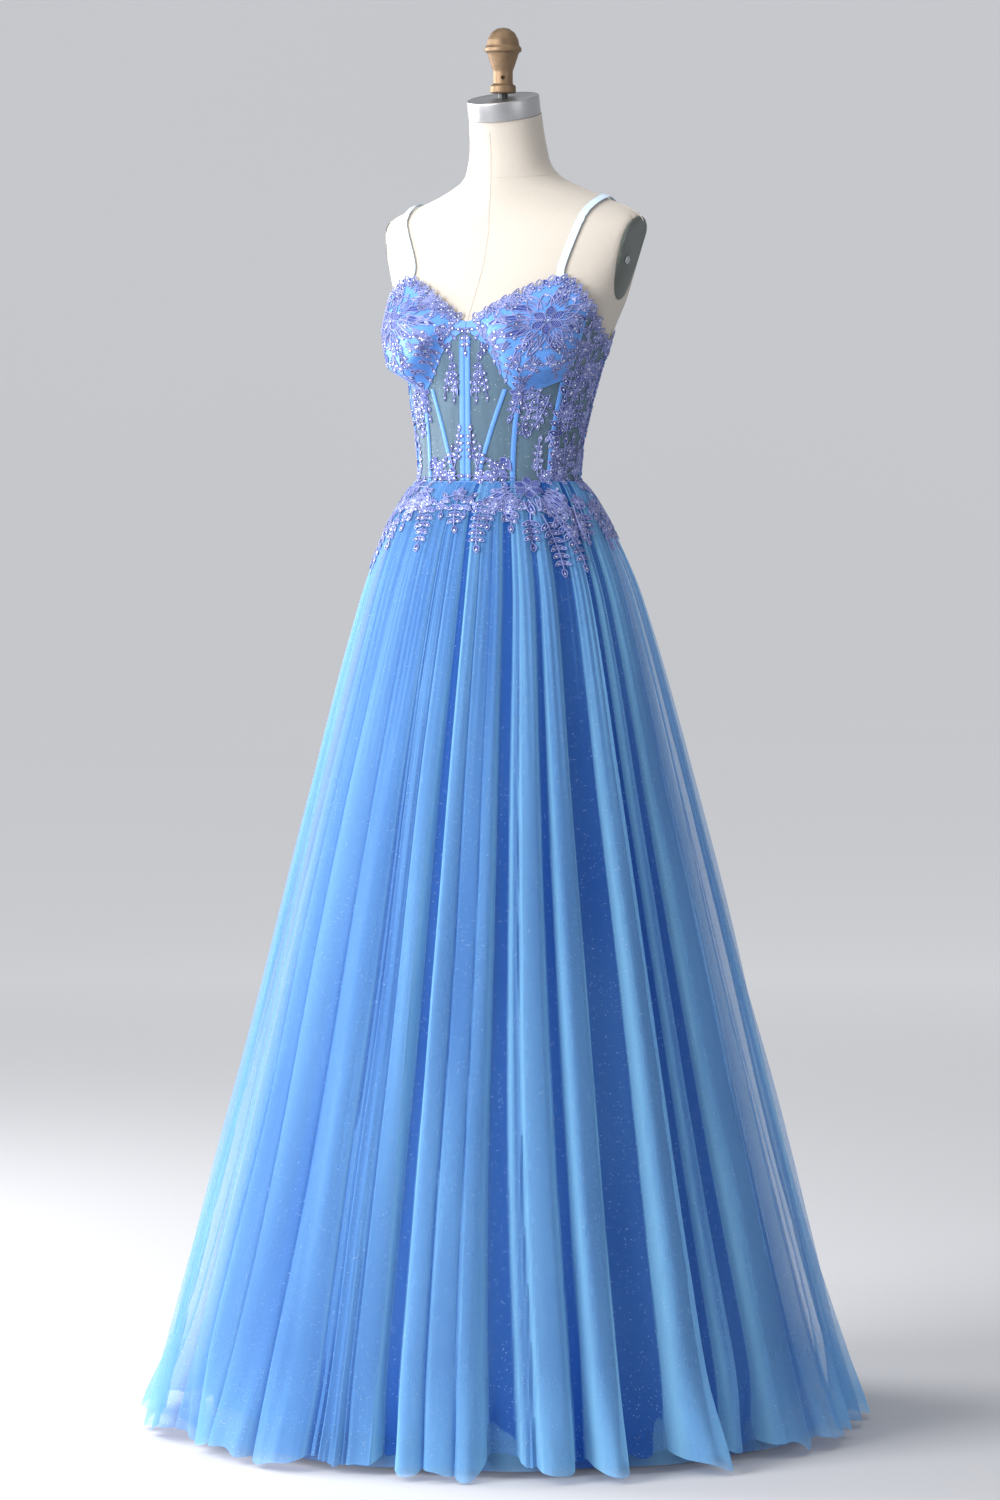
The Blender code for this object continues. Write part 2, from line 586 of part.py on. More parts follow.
def arm_plates(torso):
    """Cover each cut arm with a flat plate, sliced out of the arm that the cut takes away."""
    for side, word in ((1.0, "left"), (-1.0, "right")):
        centre, outward = arm_frame(side)
        slice_of_arm = torso.copy()
        cut_flat(slice_of_arm, centre - Vector((0.0, 0.0, ARM_CUTTER_DROP - 0.008)), Vector((0.0, 0.0, -1.0)))
        cut_flat(slice_of_arm, centre + outward * 0.0003, -outward)
        cut_flat(slice_of_arm, centre + outward * (0.0003 + PLATE_THICKNESS), outward)
        finish_object("arm_plate_" + word, slice_of_arm, PLATE_GREY)


def turned(name, profile, paint, place, segments):
    """A turned piece from (radius, height) pairs that run from its foot to its head."""
    cage = bmesh.new()
    ring = [cage.verts.new((radius, 0.0, height)) for radius, height in profile]
    edges = [cage.edges.new(pair) for pair in zip(ring, ring[1:])]
    bmesh.ops.spin(cage, geom=ring + edges, cent=(0, 0, 0), axis=(0, 0, 1), angle=math.tau,
                   steps=segments, use_merge=True)
    bmesh.ops.remove_doubles(cage, verts=cage.verts, dist=0.00001)
    bmesh.ops.transform(cage, verts=cage.verts, matrix=place)
    return finish_object(name, cage, paint)


def form_fittings():
    lean = Matrix.Rotation(NECK_LEAN, 4, "X")
    seat = NECK_TOP + lean @ Vector((0.0, 0.0, 0.0003))
    edge = 0.0015
    turned("neck_cap", ((0.0, 0.0), (CAP_RADIUS, 0.0), (CAP_RADIUS, CAP_HEIGHT - edge),
                        (CAP_RADIUS - edge, CAP_HEIGHT), (0.0, CAP_HEIGHT)),
           STEEL, Matrix.Translation(seat) @ lean, 32)
    top = seat + lean @ Vector((0.0, 0.0, CAP_HEIGHT + 0.0003))
    foot_height = FINIAL_FOOT_Z - 0.0003
    cage = bmesh.new()
    bmesh.ops.create_cone(cage, cap_ends=True, segments=20, radius1=STEM_RADIUS, radius2=STEM_RADIUS,
                          depth=0.020)
    bmesh.ops.translate(cage, verts=cage.verts, vec=(0.0, FINIAL_AXIS_Y, foot_height - 0.010))
    cut_flat(cage, top, lean @ Vector((0.0, 0.0, -1.0)))
    finish_object("finial_stem", cage, BLACK_STEEL)
    turned("finial", ((0.0, 0.0), (0.0150, 0.0), (0.0160, 0.0012), (0.0160, 0.0085), (0.0150, 0.0098),
                      (0.0122, 0.0112), (0.0122, 0.0270), (0.0150, 0.0345), (0.0198, 0.0495),
                      (0.0230, 0.0512), (0.0230, 0.0562), (0.0205, 0.0580), (0.0190, 0.0660),
                      (0.0145, 0.0745), (0.0075, 0.0795), (0.0, 0.0808)),
           BRONZE, Matrix.Translation((0.0, FINIAL_AXIS_Y, FINIAL_FOOT_Z)), 16)


def stand():
    base = Matrix.Identity(4)
    edge = 0.004
    turned("stand_base", ((0.0, 0.0), (BASE_RADIUS, 0.0), (BASE_RADIUS, BASE_THICKNESS - edge),
                          (BASE_RADIUS - edge, BASE_THICKNESS), (0.0, BASE_THICKNESS)),
           BLACK_STEEL, base, 48)
    pole_foot = BASE_THICKNESS + 0.0003
    pole_head = FORM_FOOT_Z - FLANGE_THICKNESS - 0.0006
    turned("stand_pole", ((0.0, pole_foot), (POLE_RADIUS + 0.012, pole_foot),
                          (POLE_RADIUS + 0.010, pole_foot + 0.030), (POLE_RADIUS, pole_foot + 0.034),
                          (POLE_RADIUS, pole_head), (0.0, pole_head)), STEEL, base, 24)
    turned("stand_flange", ((0.0, pole_head + 0.0003), (FLANGE_RADIUS, pole_head + 0.0003),
                            (FLANGE_RADIUS, FORM_FOOT_Z - 0.0003), (0.0, FORM_FOOT_Z - 0.0003)),
           BLACK_STEEL, base, 28)


# Bodice
def panel(name, seams, base_edge, top_edge, columns, rows, thickness, paint):
    """A bodice piece from one edge up to another, with so many columns between each two seams."""
    angles = [seams[0]]
    for start, end, count in zip(seams, seams[1:], columns):
        angles += [spaced(start, end, count, index + 1) for index in range(count)]
    inset = math.copysign(SEAM_ANGLE, seams[-1] - seams[0])
    angles[0] += inset
    angles[-1] -= inset

    def place(column, row, lift):
        degrees = angles[column]
        low = base_edge(degrees)
        return bodice_point(degrees, low + (top_edge(degrees) - low) * row / rows, lift)

    return wall(name, len(angles) - 1, rows, place, 0.0, thickness, paint)


def foot_edge(degrees):
    return WAIST_Z + SEAM_GAP


def neck_edge(degrees):
    return edge_height(TOP_EDGE, degrees)


def under_cup(degrees):
    return edge_height(CUP_BASE, degrees) - SEAM_GAP


def cup_foot(degrees):
    return edge_height(CUP_BASE, degrees) + SEAM_GAP


def bodice():
    """The panels' columns fall on the cups' columns, so that their shared edges match."""
    panel("bodice_front", (-UNDERCUP_SEAM, 0.0, UNDERCUP_SEAM), foot_edge, under_cup, (6, 6), 7,
          MESH_WALL, SHEER_MESH)
    for side, word in ((1.0, "left"), (-1.0, "right")):
        undercup, side_front = side * UNDERCUP_SEAM, side * SIDE_FRONT_SEAM
        side_back, opening = side * SIDE_BACK_SEAM, side * BACK_OPENING
        panel("bodice_side_front_" + word, (undercup, side_front), foot_edge, under_cup, (5,), 7,
              MESH_WALL, SHEER_MESH)
        panel("bodice_side_" + word, (side_front, side_back), foot_edge, neck_edge, (6,), 7,
              MESH_WALL, SATIN)
        panel("bodice_back_" + word, (side_back, opening), foot_edge, neck_edge, (8,), 7,
              MESH_WALL, SATIN)
        panel("cup_" + word, (0.0, undercup, side_front), cup_foot, neck_edge, (6, 5), 7,
              CUP_WALL, SATIN)


def channels():
    for plan in CHANNELS:
        rows = 7

        def place(column, row, lift, plan=plan):
            z = spaced(plan.foot_z, plan.head_z, rows, row)
            degrees = spaced(plan.foot_degrees, plan.head_degrees, rows, row)
            arc = (bodice_point(degrees + 0.5, z) - bodice_point(degrees - 0.5, z)).length
            return bodice_point(degrees + (column / 2.0 - 0.5) * plan.width / arc, z, lift)

        wall(plan.name, 2, rows, place, MESH_WALL + LAID_GAP,
             MESH_WALL + LAID_GAP + CHANNEL_WALL, SATIN)


def strap_end(degrees, aside, lift):
    """Point on the end of a strap, cut along the top edge of the bodice."""
    across = bodice_point(degrees + 0.5, neck_edge(degrees)) - bodice_point(degrees - 0.5, neck_edge(degrees))
    turn = aside / math.copysign(across.length, across.x)
    return bodice_point(degrees + turn, neck_edge(degrees + turn) + STRAP_GAP, lift)


def straps(skin):
    for side, word, top_x in ((1.0, "left", STRAP_TOP_LEFT_X), (-1.0, "right", STRAP_TOP_RIGHT_X)):
        start = strap_end(side * STRAP_ANGLE, 0.0, 0.0)
        finish = strap_end(side * STRAP_BACK_ANGLE, 0.0, 0.0)
        top = Vector((top_x, STRAP_TOP[0], STRAP_TOP[1]))
        knots = (start, start + Vector((0.0, 0.004, 0.020)),
                 start.lerp(top, 0.55) + Vector((0.0, -0.010, 0.010)), top,
                 finish.lerp(top, 0.60) + Vector((0.0, 0.030, 0.010)),
                 finish + Vector((0.0, 0.004, 0.030)), finish)
        count = STRAP_ROWS
        route = []
        for index in range(count + 1):
            share = index / count * (len(knots) - 1)
            before = min(int(share), len(knots) - 2)
            around_knots = [knots[min(max(i, 0), len(knots) - 1)] for i in range(before - 1, before + 3)]
            t = share - before
            a, b, c, d = around_knots
            point = 0.5 * (2 * b + (c - a) * t + (2 * a - 5 * b + 4 * c - d) * t * t
                           + (3 * b - a - 3 * c + d) * t ** 3)
            spot, normal, face, distance = skin.find_nearest(point)
            route.append((spot + normal * STRAP_CLEAR, normal))

        def place(column, row, lift, side=side, route=route):
            aside = (column - 0.5) * STRAP_WIDTH
            if row == 0:
                return strap_end(side * STRAP_ANGLE, aside, lift)
            if row == count:
                return strap_end(side * STRAP_BACK_ANGLE, aside, lift)
            normal = sum((route[row + step][1] for step in (-1, 0, 1)), Vector())
            along = route[row + 1][0] - route[row - 1][0]
            sideways = along.cross(normal).normalized()
            return route[row][0] + sideways * aside + sideways.cross(along).normalized() * lift

        wall("strap_" + word, 1, count, place, 0.0, STRAP_WALL, SATIN)


# Skirt
def skirt():
    heights = [ring.z for ring in SKIRT_RINGS]
    angles = fold_columns()

    def outer(column, row, lift):
        degrees = angles[column]
        height = fold_height(degrees)
        z = max(heights[row], HEM_Z + 0.006 * (1.0 - height))
        return skirt_point(degrees, z, lift - ring_value("fold", z) * (1.0 - height))

    def inner(column, row, lift):
        degrees = column * 360.0 / INNER_COLUMNS
        z = max(heights[row], HEM_Z + 0.004)
        wave = 0.5 - 0.5 * math.cos(math.radians(degrees * INNER_FOLDS))
        return skirt_point(degrees, z, lift - ring_value("inner_inset", z) - ring_value("inner_fold", z) * wave)

    def lining(column, row, lift):
        z = max(heights[row], LINING_HEM_Z)
        return skirt_point(column * 360.0 / LINING_COLUMNS, z, lift - ring_value("lining_inset", z))

    rows = len(heights) - 1
    wall("skirt_tulle_outer", len(angles) - 1, rows, outer, -TULLE_WALL, 0.0, TULLE, closed=True)
    wall("skirt_tulle_inner", INNER_COLUMNS, rows, inner, -TULLE_WALL, 0.0, TULLE_INNER, closed=True)
    wall("skirt_lining", LINING_COLUMNS, rows, lining, -TULLE_WALL, 0.0, LINING, closed=True)


def lace():
    skin = bodice_skin()
    motif(MIDDLE_MOTIF, skin)
    for plan in LEFT_MOTIFS:
        motif(mirrored(plan), skin)
        motif(plan._replace(name=plan.name + "_left"), skin)


# Centre-back zip
def zip_closure():
    """Concealed zip between the back panels, with a slider whose pull tab hinges on a pin."""
    rows = 7
    foot = WAIST_Z + SEAM_GAP
    head = edge_height(TOP_EDGE, 180.0)

    def chain(column, row, lift):
        degrees = 180.0 + (column - 1) * ZIP_HALF_ANGLE
        return form_point(degrees, spaced(foot, head, rows, row), lift + CLEAR)

    wall("zip_chain", 2, rows, chain, 0.0, MESH_WALL, SATIN)

    half = SLIDER_HEIGHT / 2.0
    low = form_point(180.0, PIN_Z - half, CLEAR + MESH_WALL)
    high = form_point(180.0, PIN_Z + half, CLEAR + MESH_WALL)
    lean = Matrix.Rotation(math.atan2(low.y - high.y, SLIDER_HEIGHT), 4, "X")
    foot_y = (low.y + high.y) / 2.0 + LAID_GAP
    seat = Matrix.Translation((0.0, foot_y, PIN_Z)) @ lean
    pin = seat @ Vector((0.0, PIN_OUT, 0.0))
    slider = box("zip_slider", (SLIDER_WIDTH, SLIDER_THICKNESS, SLIDER_HEIGHT),
                 seat @ Matrix.Translation((0.0, SLIDER_THICKNESS / 2.0, 0.0)))
    for side, word in ((1.0, "left"), (-1.0, "right")):
        ear_x = side * (KNUCKLE_HALF + EAR_PLAY + EAR_THICKNESS / 2.0)
        ear_depth = PIN_OUT + EAR_RADIUS - EAR_SUNK
        ear = box("ear_" + word, (EAR_THICKNESS, ear_depth, 2.0 * EAR_RADIUS),
                  seat @ Matrix.Translation((ear_x, EAR_SUNK + ear_depth / 2.0, 0.0)))
        join(slider, hidden_tool(ear), "UNION")
    length = 2.0 * (KNUCKLE_HALF + EAR_PLAY) + EAR_THICKNESS
    join(slider, rod("slider_pin", PIN_RADIUS, length, pin), "UNION")
    pull = box("zip_pull", (PULL_WIDTH, PULL_THICKNESS, PULL_LENGTH),
               Matrix.Translation(pin - Vector((0.0, 0.0, 0.7 * KNUCKLE_RADIUS + PULL_LENGTH / 2.0))))
    join(pull, rod("pull_knuckle", KNUCKLE_RADIUS, 2.0 * KNUCKLE_HALF, pin), "UNION")
    join(pull, rod("pull_eye", PIN_RADIUS + EYE_PLAY, 3.0 * KNUCKLE_HALF, pin), "DIFFERENCE")


def box(name, size, place):
    cage = bmesh.new()
    bmesh.ops.create_cube(cage, size=1.0)
    bmesh.ops.scale(cage, verts=cage.verts, vec=size)
    bmesh.ops.transform(cage, verts=cage.verts, matrix=place)
    return finish_object(name, cage, ZIP_METAL)


def rod(name, radius, length, centre):
    """A rod along X that is joined to a piece or cut out of it."""
    cage = bmesh.new()
    bmesh.ops.create_cone(cage, cap_ends=True, segments=12, radius1=radius, radius2=radius, depth=length,
                          matrix=Matrix.Translation(centre) @ Matrix.Rotation(math.pi / 2.0, 4, "Y"))
    return hidden_tool(finish_object(name, cage, ZIP_METAL))


def hidden_tool(tool):
    PARTS.objects.unlink(tool)
    CUTTERS.objects.link(tool)
    tool.hide_render = True
    tool.display_type = "WIRE"
    return tool


def join(piece, tool, operation):
    modifier = piece.modifiers.new(tool.name, "BOOLEAN")
    modifier.operation = operation
    modifier.object = tool


clear_scene()
PARTS = new_collection("prom_dress_on_form")
CUTTERS = new_collection("cutters")
body_skin = form_torso()
form_fittings()
stand()
bodice()
channels()
straps(body_skin)
zip_closure()
skirt()
lace()
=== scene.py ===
"""Dresses the frame of a prom dress on a dress form with its cloth, lace, fittings and studio.

Metres, +Z up, front towards -Y, the wearer's left at +X. Angles run round the body in degrees,
from the front towards the wearer's left.
"""
import cmath
import functools
import math
import random
from collections import namedtuple

import bmesh
import bpy
from bpy.props import FloatProperty, FloatVectorProperty, IntProperty, PointerProperty
from bpy.types import Operator, Panel, PropertyGroup
from mathutils import Matrix, Vector
from mathutils.bvhtree import BVHTree
from mathutils.noise import noise


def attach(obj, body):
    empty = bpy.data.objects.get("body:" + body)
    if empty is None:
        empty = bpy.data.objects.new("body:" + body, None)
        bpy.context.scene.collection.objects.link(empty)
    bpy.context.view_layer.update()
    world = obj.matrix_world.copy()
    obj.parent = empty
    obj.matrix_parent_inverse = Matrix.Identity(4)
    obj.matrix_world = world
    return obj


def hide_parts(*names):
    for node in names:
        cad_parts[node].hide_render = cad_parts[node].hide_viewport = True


bl_info = {
    "name": "Prom Dress on a Dress Form",
    "version": (1, 0, 0),
    "blender": (4, 5, 0),
    "location": "3D View > Sidebar > Prom Dress",
    "description": "Builds the cloth, lace and fittings of a prom dress around its frame",
    "category": "Object",
}

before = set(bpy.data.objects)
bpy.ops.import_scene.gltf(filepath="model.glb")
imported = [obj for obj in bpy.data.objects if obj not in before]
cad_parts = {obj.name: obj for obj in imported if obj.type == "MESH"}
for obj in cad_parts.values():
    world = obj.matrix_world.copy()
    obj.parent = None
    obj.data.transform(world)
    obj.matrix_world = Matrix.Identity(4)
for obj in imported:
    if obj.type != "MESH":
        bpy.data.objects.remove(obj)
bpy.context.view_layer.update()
BODY = "dress_on_form"
PULL_BODY = "zip_pull_tab"

# Cloth and seams
SEAM_GAP = 0.0004
SEAM_ANGLE = 0.12
CLEAR = 0.0010
MESH_WALL = 0.0012
CUP_WALL = 0.0022
CHANNEL_WALL = 0.0012
LAID_GAP = 0.0003
TULLE_WALL = 0.0010

# Rolled seam at the waist
ROLL_RADIUS = 0.0008
ROLL_SUNK = 0.0016
ROLL_TWIST = 0.0003
ROLL_STEPS = 240

# Heights of the dress
WAIST_Z = 1.1765
HEM_Z = 0.0050
LINING_HEM_Z = 0.0400

# Bodice seams, in degrees from the centre front
UNDERCUP_SEAM = 34.0
SIDE_FRONT_SEAM = 62.0
SIDE_BACK_SEAM = 104.0
BACK_OPENING = 178.2
ZIP_HALF_ANGLE = 1.5

# Bust swell of the form, and how much more the moulded cups stand out
FORM_SWELL = 0.008
CUP_SWELL = 0.023
CUP_RISE = 0.028
CUP_FADE_Z = 1.350
CUP_FADE = 0.085

# Straps
STRAP_WIDTH = 0.009
STRAP_WALL = 0.0010
STRAP_GAP = 0.0008
STRAP_CLEAR = 0.0022
STRAP_ROWS = 152
STRAP_ANGLE = 39.0
STRAP_BACK_ANGLE = 141.0
STRAP_TOP_LEFT_X = 0.124
STRAP_TOP_RIGHT_X = -0.150
STRAP_TOP = (0.040, 1.530)

# Neck cap, finial and arm plates
NECK_LEAN = math.radians(11.8)
NECK_TOP = Vector((0.0, -0.0005, 1.6262))
CAP_RADIUS = 0.0450
CAP_HEIGHT = 0.0235
STEM_RADIUS = 0.0060
FINIAL_FOOT_Z = 1.6548
FINIAL_AXIS_Y = -0.0050
PLATE_CENTRE = Vector((0.1635, 0.010, 1.449))
PLATE_LEAN = math.radians(11.0)
PLATE_THICKNESS = 0.003
ARM_CUTTER_DROP = 0.072

# Stand
POLE_RADIUS = 0.0140
BASE_RADIUS = 0.1900
BASE_THICKNESS = 0.0120
FLANGE_RADIUS = 0.0450
FLANGE_THICKNESS = 0.0080
FORM_FOOT_Z = 0.8600

# Zip
PIN_Z = 1.3240
PIN_OUT = 0.0052
SLIDER_GAP = 0.0006
PIN_RADIUS = 0.0007
EYE_PLAY = 0.0005
SLIDER_WIDTH = 0.0070
SLIDER_THICKNESS = 0.0024
SLIDER_HEIGHT = 0.0100
EAR_THICKNESS = 0.0010
EAR_RADIUS = 0.0016
EAR_PLAY = 0.0004
EAR_SUNK = 0.0008
KNUCKLE_HALF = 0.0012
KNUCKLE_RADIUS = 0.0022
PULL_WIDTH = 0.0022
PULL_THICKNESS = 0.0012
PULL_LENGTH = 0.0200

Section = namedtuple("Section", "z half_width front back centre_y square")
FORM_SECTIONS = (
    Section(0.860, 0.150, 0.110, 0.122, -0.005, 2.0),
    Section(0.980, 0.160, 0.114, 0.118, -0.005, 2.0),
    Section(1.080, 0.138, 0.101, 0.097, -0.008, 2.0),
    Section(1.130, 0.116, 0.090, 0.080, -0.010, 2.0),
    Section(1.176, 0.1035, 0.0840, 0.0700, -0.011, 2.0),
    Section(1.210, 0.1045, 0.0850, 0.0725, -0.010, 2.0),
    Section(1.240, 0.1090, 0.0860, 0.0780, -0.009, 2.0),
    Section(1.280, 0.1175, 0.0895, 0.0850, -0.006, 2.0),
    Section(1.313, 0.1240, 0.0960, 0.0900, 0.000, 2.0),
    Section(1.340, 0.1320, 0.1020, 0.0940, 0.006, 2.0),
    Section(1.372, 0.1430, 0.1030, 0.0970, 0.011, 2.0),
    Section(1.400, 0.1545, 0.0890, 0.0990, 0.012, 2.1),
    Section(1.440, 0.1680, 0.0670, 0.0960, 0.012, 2.2),
    Section(1.470, 0.1790, 0.0610, 0.0880, 0.016, 2.1),
    Section(1.488, 0.1840, 0.0620, 0.0800, 0.022, 2.0),
    Section(1.500, 0.1790, 0.0680, 0.0700, 0.028, 1.8),
    Section(1.511, 0.1610, 0.0740, 0.0600, 0.035, 1.6),
    Section(1.523, 0.1290, 0.0760, 0.0500, 0.039, 1.5),
    Section(1.536, 0.0970, 0.0730, 0.0410, 0.037, 1.6),
    Section(1.548, 0.0690, 0.0620, 0.0450, 0.027, 1.8),
    Section(1.566, 0.0535, 0.0470, 0.0490, 0.012, 2.0),
    Section(1.586, 0.0490, 0.0430, 0.0480, 0.008, 2.0),
    Section(1.610, 0.0465, 0.0425, 0.0470, 0.003, 2.0),
    Section(1.660, 0.0440, 0.0440, 0.0440, -0.004, 2.0),
)

# Skirt: the outer tulle's crests reach each section; the other layers lie inside it
Ring = namedtuple("Ring", "z half_width front back centre_y square fold inner_inset inner_fold lining_inset")
SKIRT_RINGS = (
    Ring(0.000, 0.4560, 0.4560, 0.4560, 0.000, 2.0, 0.036, 0.0445, 0.014, 0.0700),
    Ring(0.400, 0.3480, 0.3480, 0.3480, -0.001, 2.0, 0.030, 0.0380, 0.012, 0.0570),
    Ring(0.780, 0.2495, 0.2460, 0.2450, -0.004, 2.0, 0.021, 0.0285, 0.008, 0.0430),
    Ring(1.030, 0.1815, 0.1670, 0.1630, -0.006, 2.0, 0.011, 0.0165, 0.004, 0.0250),
    Ring(1.120, 0.1465, 0.1290, 0.1210, -0.011, 2.0, 0.006, 0.0095, 0.002, 0.0150),
    Ring(1.150, 0.1290, 0.1120, 0.1030, -0.011, 2.0, 0.003, 0.0056, 0.001, 0.0092),
    Ring(1.165, 0.1190, 0.1020, 0.0900, -0.011, 2.0, 0.0014, 0.0032, 0.000, 0.0056),
    Ring(WAIST_Z - SEAM_GAP, 0.1090, 0.0890, 0.0755, -0.011, 2.0, 0.000, 0.0015, 0.000, 0.0030),
)

# Folds of the outer tulle: where each starts and ends, in degrees, and how high its crest is
Fold = namedtuple("Fold", "start end height")
FOLDS = (
    Fold(-58.0, -49.0, 0.9), Fold(-49.0, -40.0, 0.95), Fold(-40.0, -32.0, 0.7),
    Fold(-32.0, -24.5, 0.8), Fold(-24.0, -13.5, 1.0), Fold(-13.0, -3.0, 0.9),
    Fold(-1.5, 2.0, 0.5), Fold(3.0, 8.6, 0.9), Fold(12.0, 17.4, 0.9), Fold(17.7, 23.0, 0.7),
    Fold(23.0, 27.5, 0.8), Fold(32.0, 34.4, 0.4), Fold(34.6, 41.0, 1.0), Fold(44.0, 50.7, 1.0),
    Fold(60.0, 67.7, 1.0), Fold(71.5, 75.0, 0.6), Fold(80.0, 90.0, 0.9), Fold(91.0, 99.0, 0.8),
    Fold(100.0, 109.0, 0.7), Fold(110.0, 119.0, 0.95), Fold(120.0, 128.0, 1.0),
    Fold(129.5, 138.0, 0.7), Fold(138.5, 145.0, 0.8), Fold(148.0, 157.0, 1.0),
    Fold(158.0, 164.0, 0.6), Fold(165.0, 173.0, 0.9), Fold(176.0, 184.0, 0.8),
    Fold(185.0, 193.5, 0.9), Fold(196.0, 203.0, 0.7), Fold(203.5, 212.0, 1.0),
    Fold(213.0, 219.0, 0.6), Fold(222.0, 231.0, 0.9), Fold(232.0, 239.0, 0.8),
    Fold(239.5, 246.0, 0.7), Fold(249.0, 258.0, 1.0), Fold(259.0, 265.0, 0.7),
    Fold(266.0, 275.0, 0.9), Fold(278.0, 285.0, 0.8), Fold(285.5, 294.0, 1.0),
    Fold(295.0, 301.5, 0.9),
)
FOLD_ROUNDNESS = 0.45
INNER_FOLDS = 12

# Edges of the bodice: height over the angle from the centre front, the same on both sides
Edge = namedtuple("Edge", "degrees z")
TOP_EDGE = (
    Edge(0, 1.3725), Edge(4, 1.3755), Edge(10, 1.3840), Edge(20, 1.3990), Edge(28, 1.4140),
    Edge(35, 1.4220), Edge(40, 1.4235), Edge(48, 1.4160), Edge(56, 1.4020), Edge(62, 1.3900),
    Edge(72, 1.3700), Edge(84, 1.3520), Edge(104, 1.3400), Edge(130, 1.3360), Edge(180, 1.3350),
)
CUP_BASE = (
    Edge(0, 1.3620), Edge(7, 1.3520), Edge(14, 1.3360), Edge(23, 1.3060), Edge(28, 1.2930),
    Edge(33, 1.2870), Edge(45, 1.2890), Edge(62, 1.3000), Edge(90, 1.3100), Edge(180, 1.3100),
)

# Boning channels: degrees and height at the foot and at the head, and how many tubes side by side
Channel = namedtuple("Channel", "name foot_degrees foot_z head_degrees head_z width tubes")
FOOT_Z = WAIST_Z + 0.0016
CHANNELS = (
    Channel("channel_centre", 0.0, FOOT_Z, 0.0, 1.3545, 0.0150, 2),
    Channel("channel_diagonal_left", 9.0, FOOT_Z, 25.2, 1.2900, 0.0060, 1),
    Channel("channel_diagonal_right", -9.0, FOOT_Z, -25.2, 1.2900, 0.0060, 1),
    Channel("channel_undercup_left", 34.0, FOOT_Z, 33.6, 1.2860, 0.0065, 1),
    Channel("channel_undercup_right", -34.0, FOOT_Z, -33.6, 1.2860, 0.0065, 1),
    Channel("channel_side_left", 62.0, FOOT_Z, 62.0, 1.2985, 0.0065, 1),
    Channel("channel_side_right", -62.0, FOOT_Z, -62.0, 1.2985, 0.0065, 1),
    Channel("channel_back_left", 104.0, FOOT_Z, 104.0, 1.3385, 0.0065, 1),
    Channel("channel_back_right", -104.0, FOOT_Z, -104.0, 1.3385, 0.0065, 1),
)

# Lace: cords as shares of the outline cord, and how high grounds and sequins lie on the cloth
INNER_CORD = 0.7
VEIN_CORD = 0.6
GROUND_LIFT = 0.0002
SPINE_LIFT = 0.0006
SEQUIN_LIFT = 0.0015
SEQUIN_RIM_LIFT = 0.0011
EDGE_PITCH = 0.0122
OUTER_SWIRLS = 17
OUTER_SWIRL_START = 0.050
OUTER_SWIRL_LENGTH = 0.024
GLINT_RADIUS = 0.34

# Photograph's camera: distance, height, azimuth and pitch, and its frame in pixels
CAMERA_DISTANCE = 7.6
CAMERA_HEIGHT = 1.30
CAMERA_AZIMUTH = math.radians(30.0)
CAMERA_PITCH = math.radians(3.45)
FRAME_WIDTH = 1000
FRAME_HEIGHT = 1500
FOCAL_PIXELS = 6120.0
AXIS_PIXEL_X = 505.0
SENSOR = 36.0


# Stage: a floor, then a backdrop that runs on level, bends up and ends in a wall, all of it round
FLOOR_CENTRE = 0.01
FLOOR_EDGE = 2.6
LEVEL_TO = 15.5
BEND = 3.5
BEND_STEPS = 16
WALL_TOP = 12.0
STAGE_STEPS = 96
STAGE_SUNK = 0.0005
GLOW_START = 1.2
GLOW_RISE = 0.22
SKY_COLOUR = (0.75, 0.78, 0.82, 1.0)
SKY_STRENGTH = 0.42
LAMP_TARGET = Vector((0.0, 0.0, 0.95))

# Lamps: metres to the camera's right and towards it, height, size and power
Lamp = namedtuple("Lamp", "name right ahead height size watts")
LAMPS = (
    Lamp("key", -3.0, 2.2, 2.3, 2.4, 225.0),
    Lamp("fill", 3.0, 3.4, 1.8, 2.2, 26.0),
    Lamp("rim", -2.9, -1.3, 1.7, 1.8, 150.0),
    Lamp("top", 0.0, 0.4, 3.6, 2.4, 26.0),
)


# Settings that a user would change
class ClothSettings(PropertyGroup):
    """Colours of the cloths."""
    satin: FloatVectorProperty(name="Satin", description="Cups, channels and back panels",
                               default=(0.10, 0.285, 0.72), subtype="COLOR", min=0.0, max=1.0)
    mesh: FloatVectorProperty(name="Mesh", description="Sheer mesh of the corset panels",
                              default=(0.10, 0.175, 0.245), subtype="COLOR", min=0.0, max=1.0)
    tulle: FloatVectorProperty(name="Tulle", description="Crests of the tulle's folds",
                               default=(0.27, 0.61, 1.0), subtype="COLOR", min=0.0, max=1.0)
    # partly the colour of tulle bunched in the valleys, partly painted shade there
    tulle_deep: FloatVectorProperty(name="Tulle in the folds", description="Where the tulle bunches",
                                    default=(0.012, 0.078, 0.36), subtype="COLOR", min=0.0, max=1.0)
    lining: FloatVectorProperty(name="Lining", description="Skirt lining",
                                default=(0.018, 0.105, 0.44), subtype="COLOR", min=0.0, max=1.0)
    lace: FloatVectorProperty(name="Lace", description="Lace cord",
                              default=(0.125, 0.16, 0.45), subtype="COLOR", min=0.0, max=1.0)
    canvas: FloatVectorProperty(name="Canvas", description="Cover of the form",
                                default=(0.585, 0.53, 0.465), subtype="COLOR", min=0.0, max=1.0)


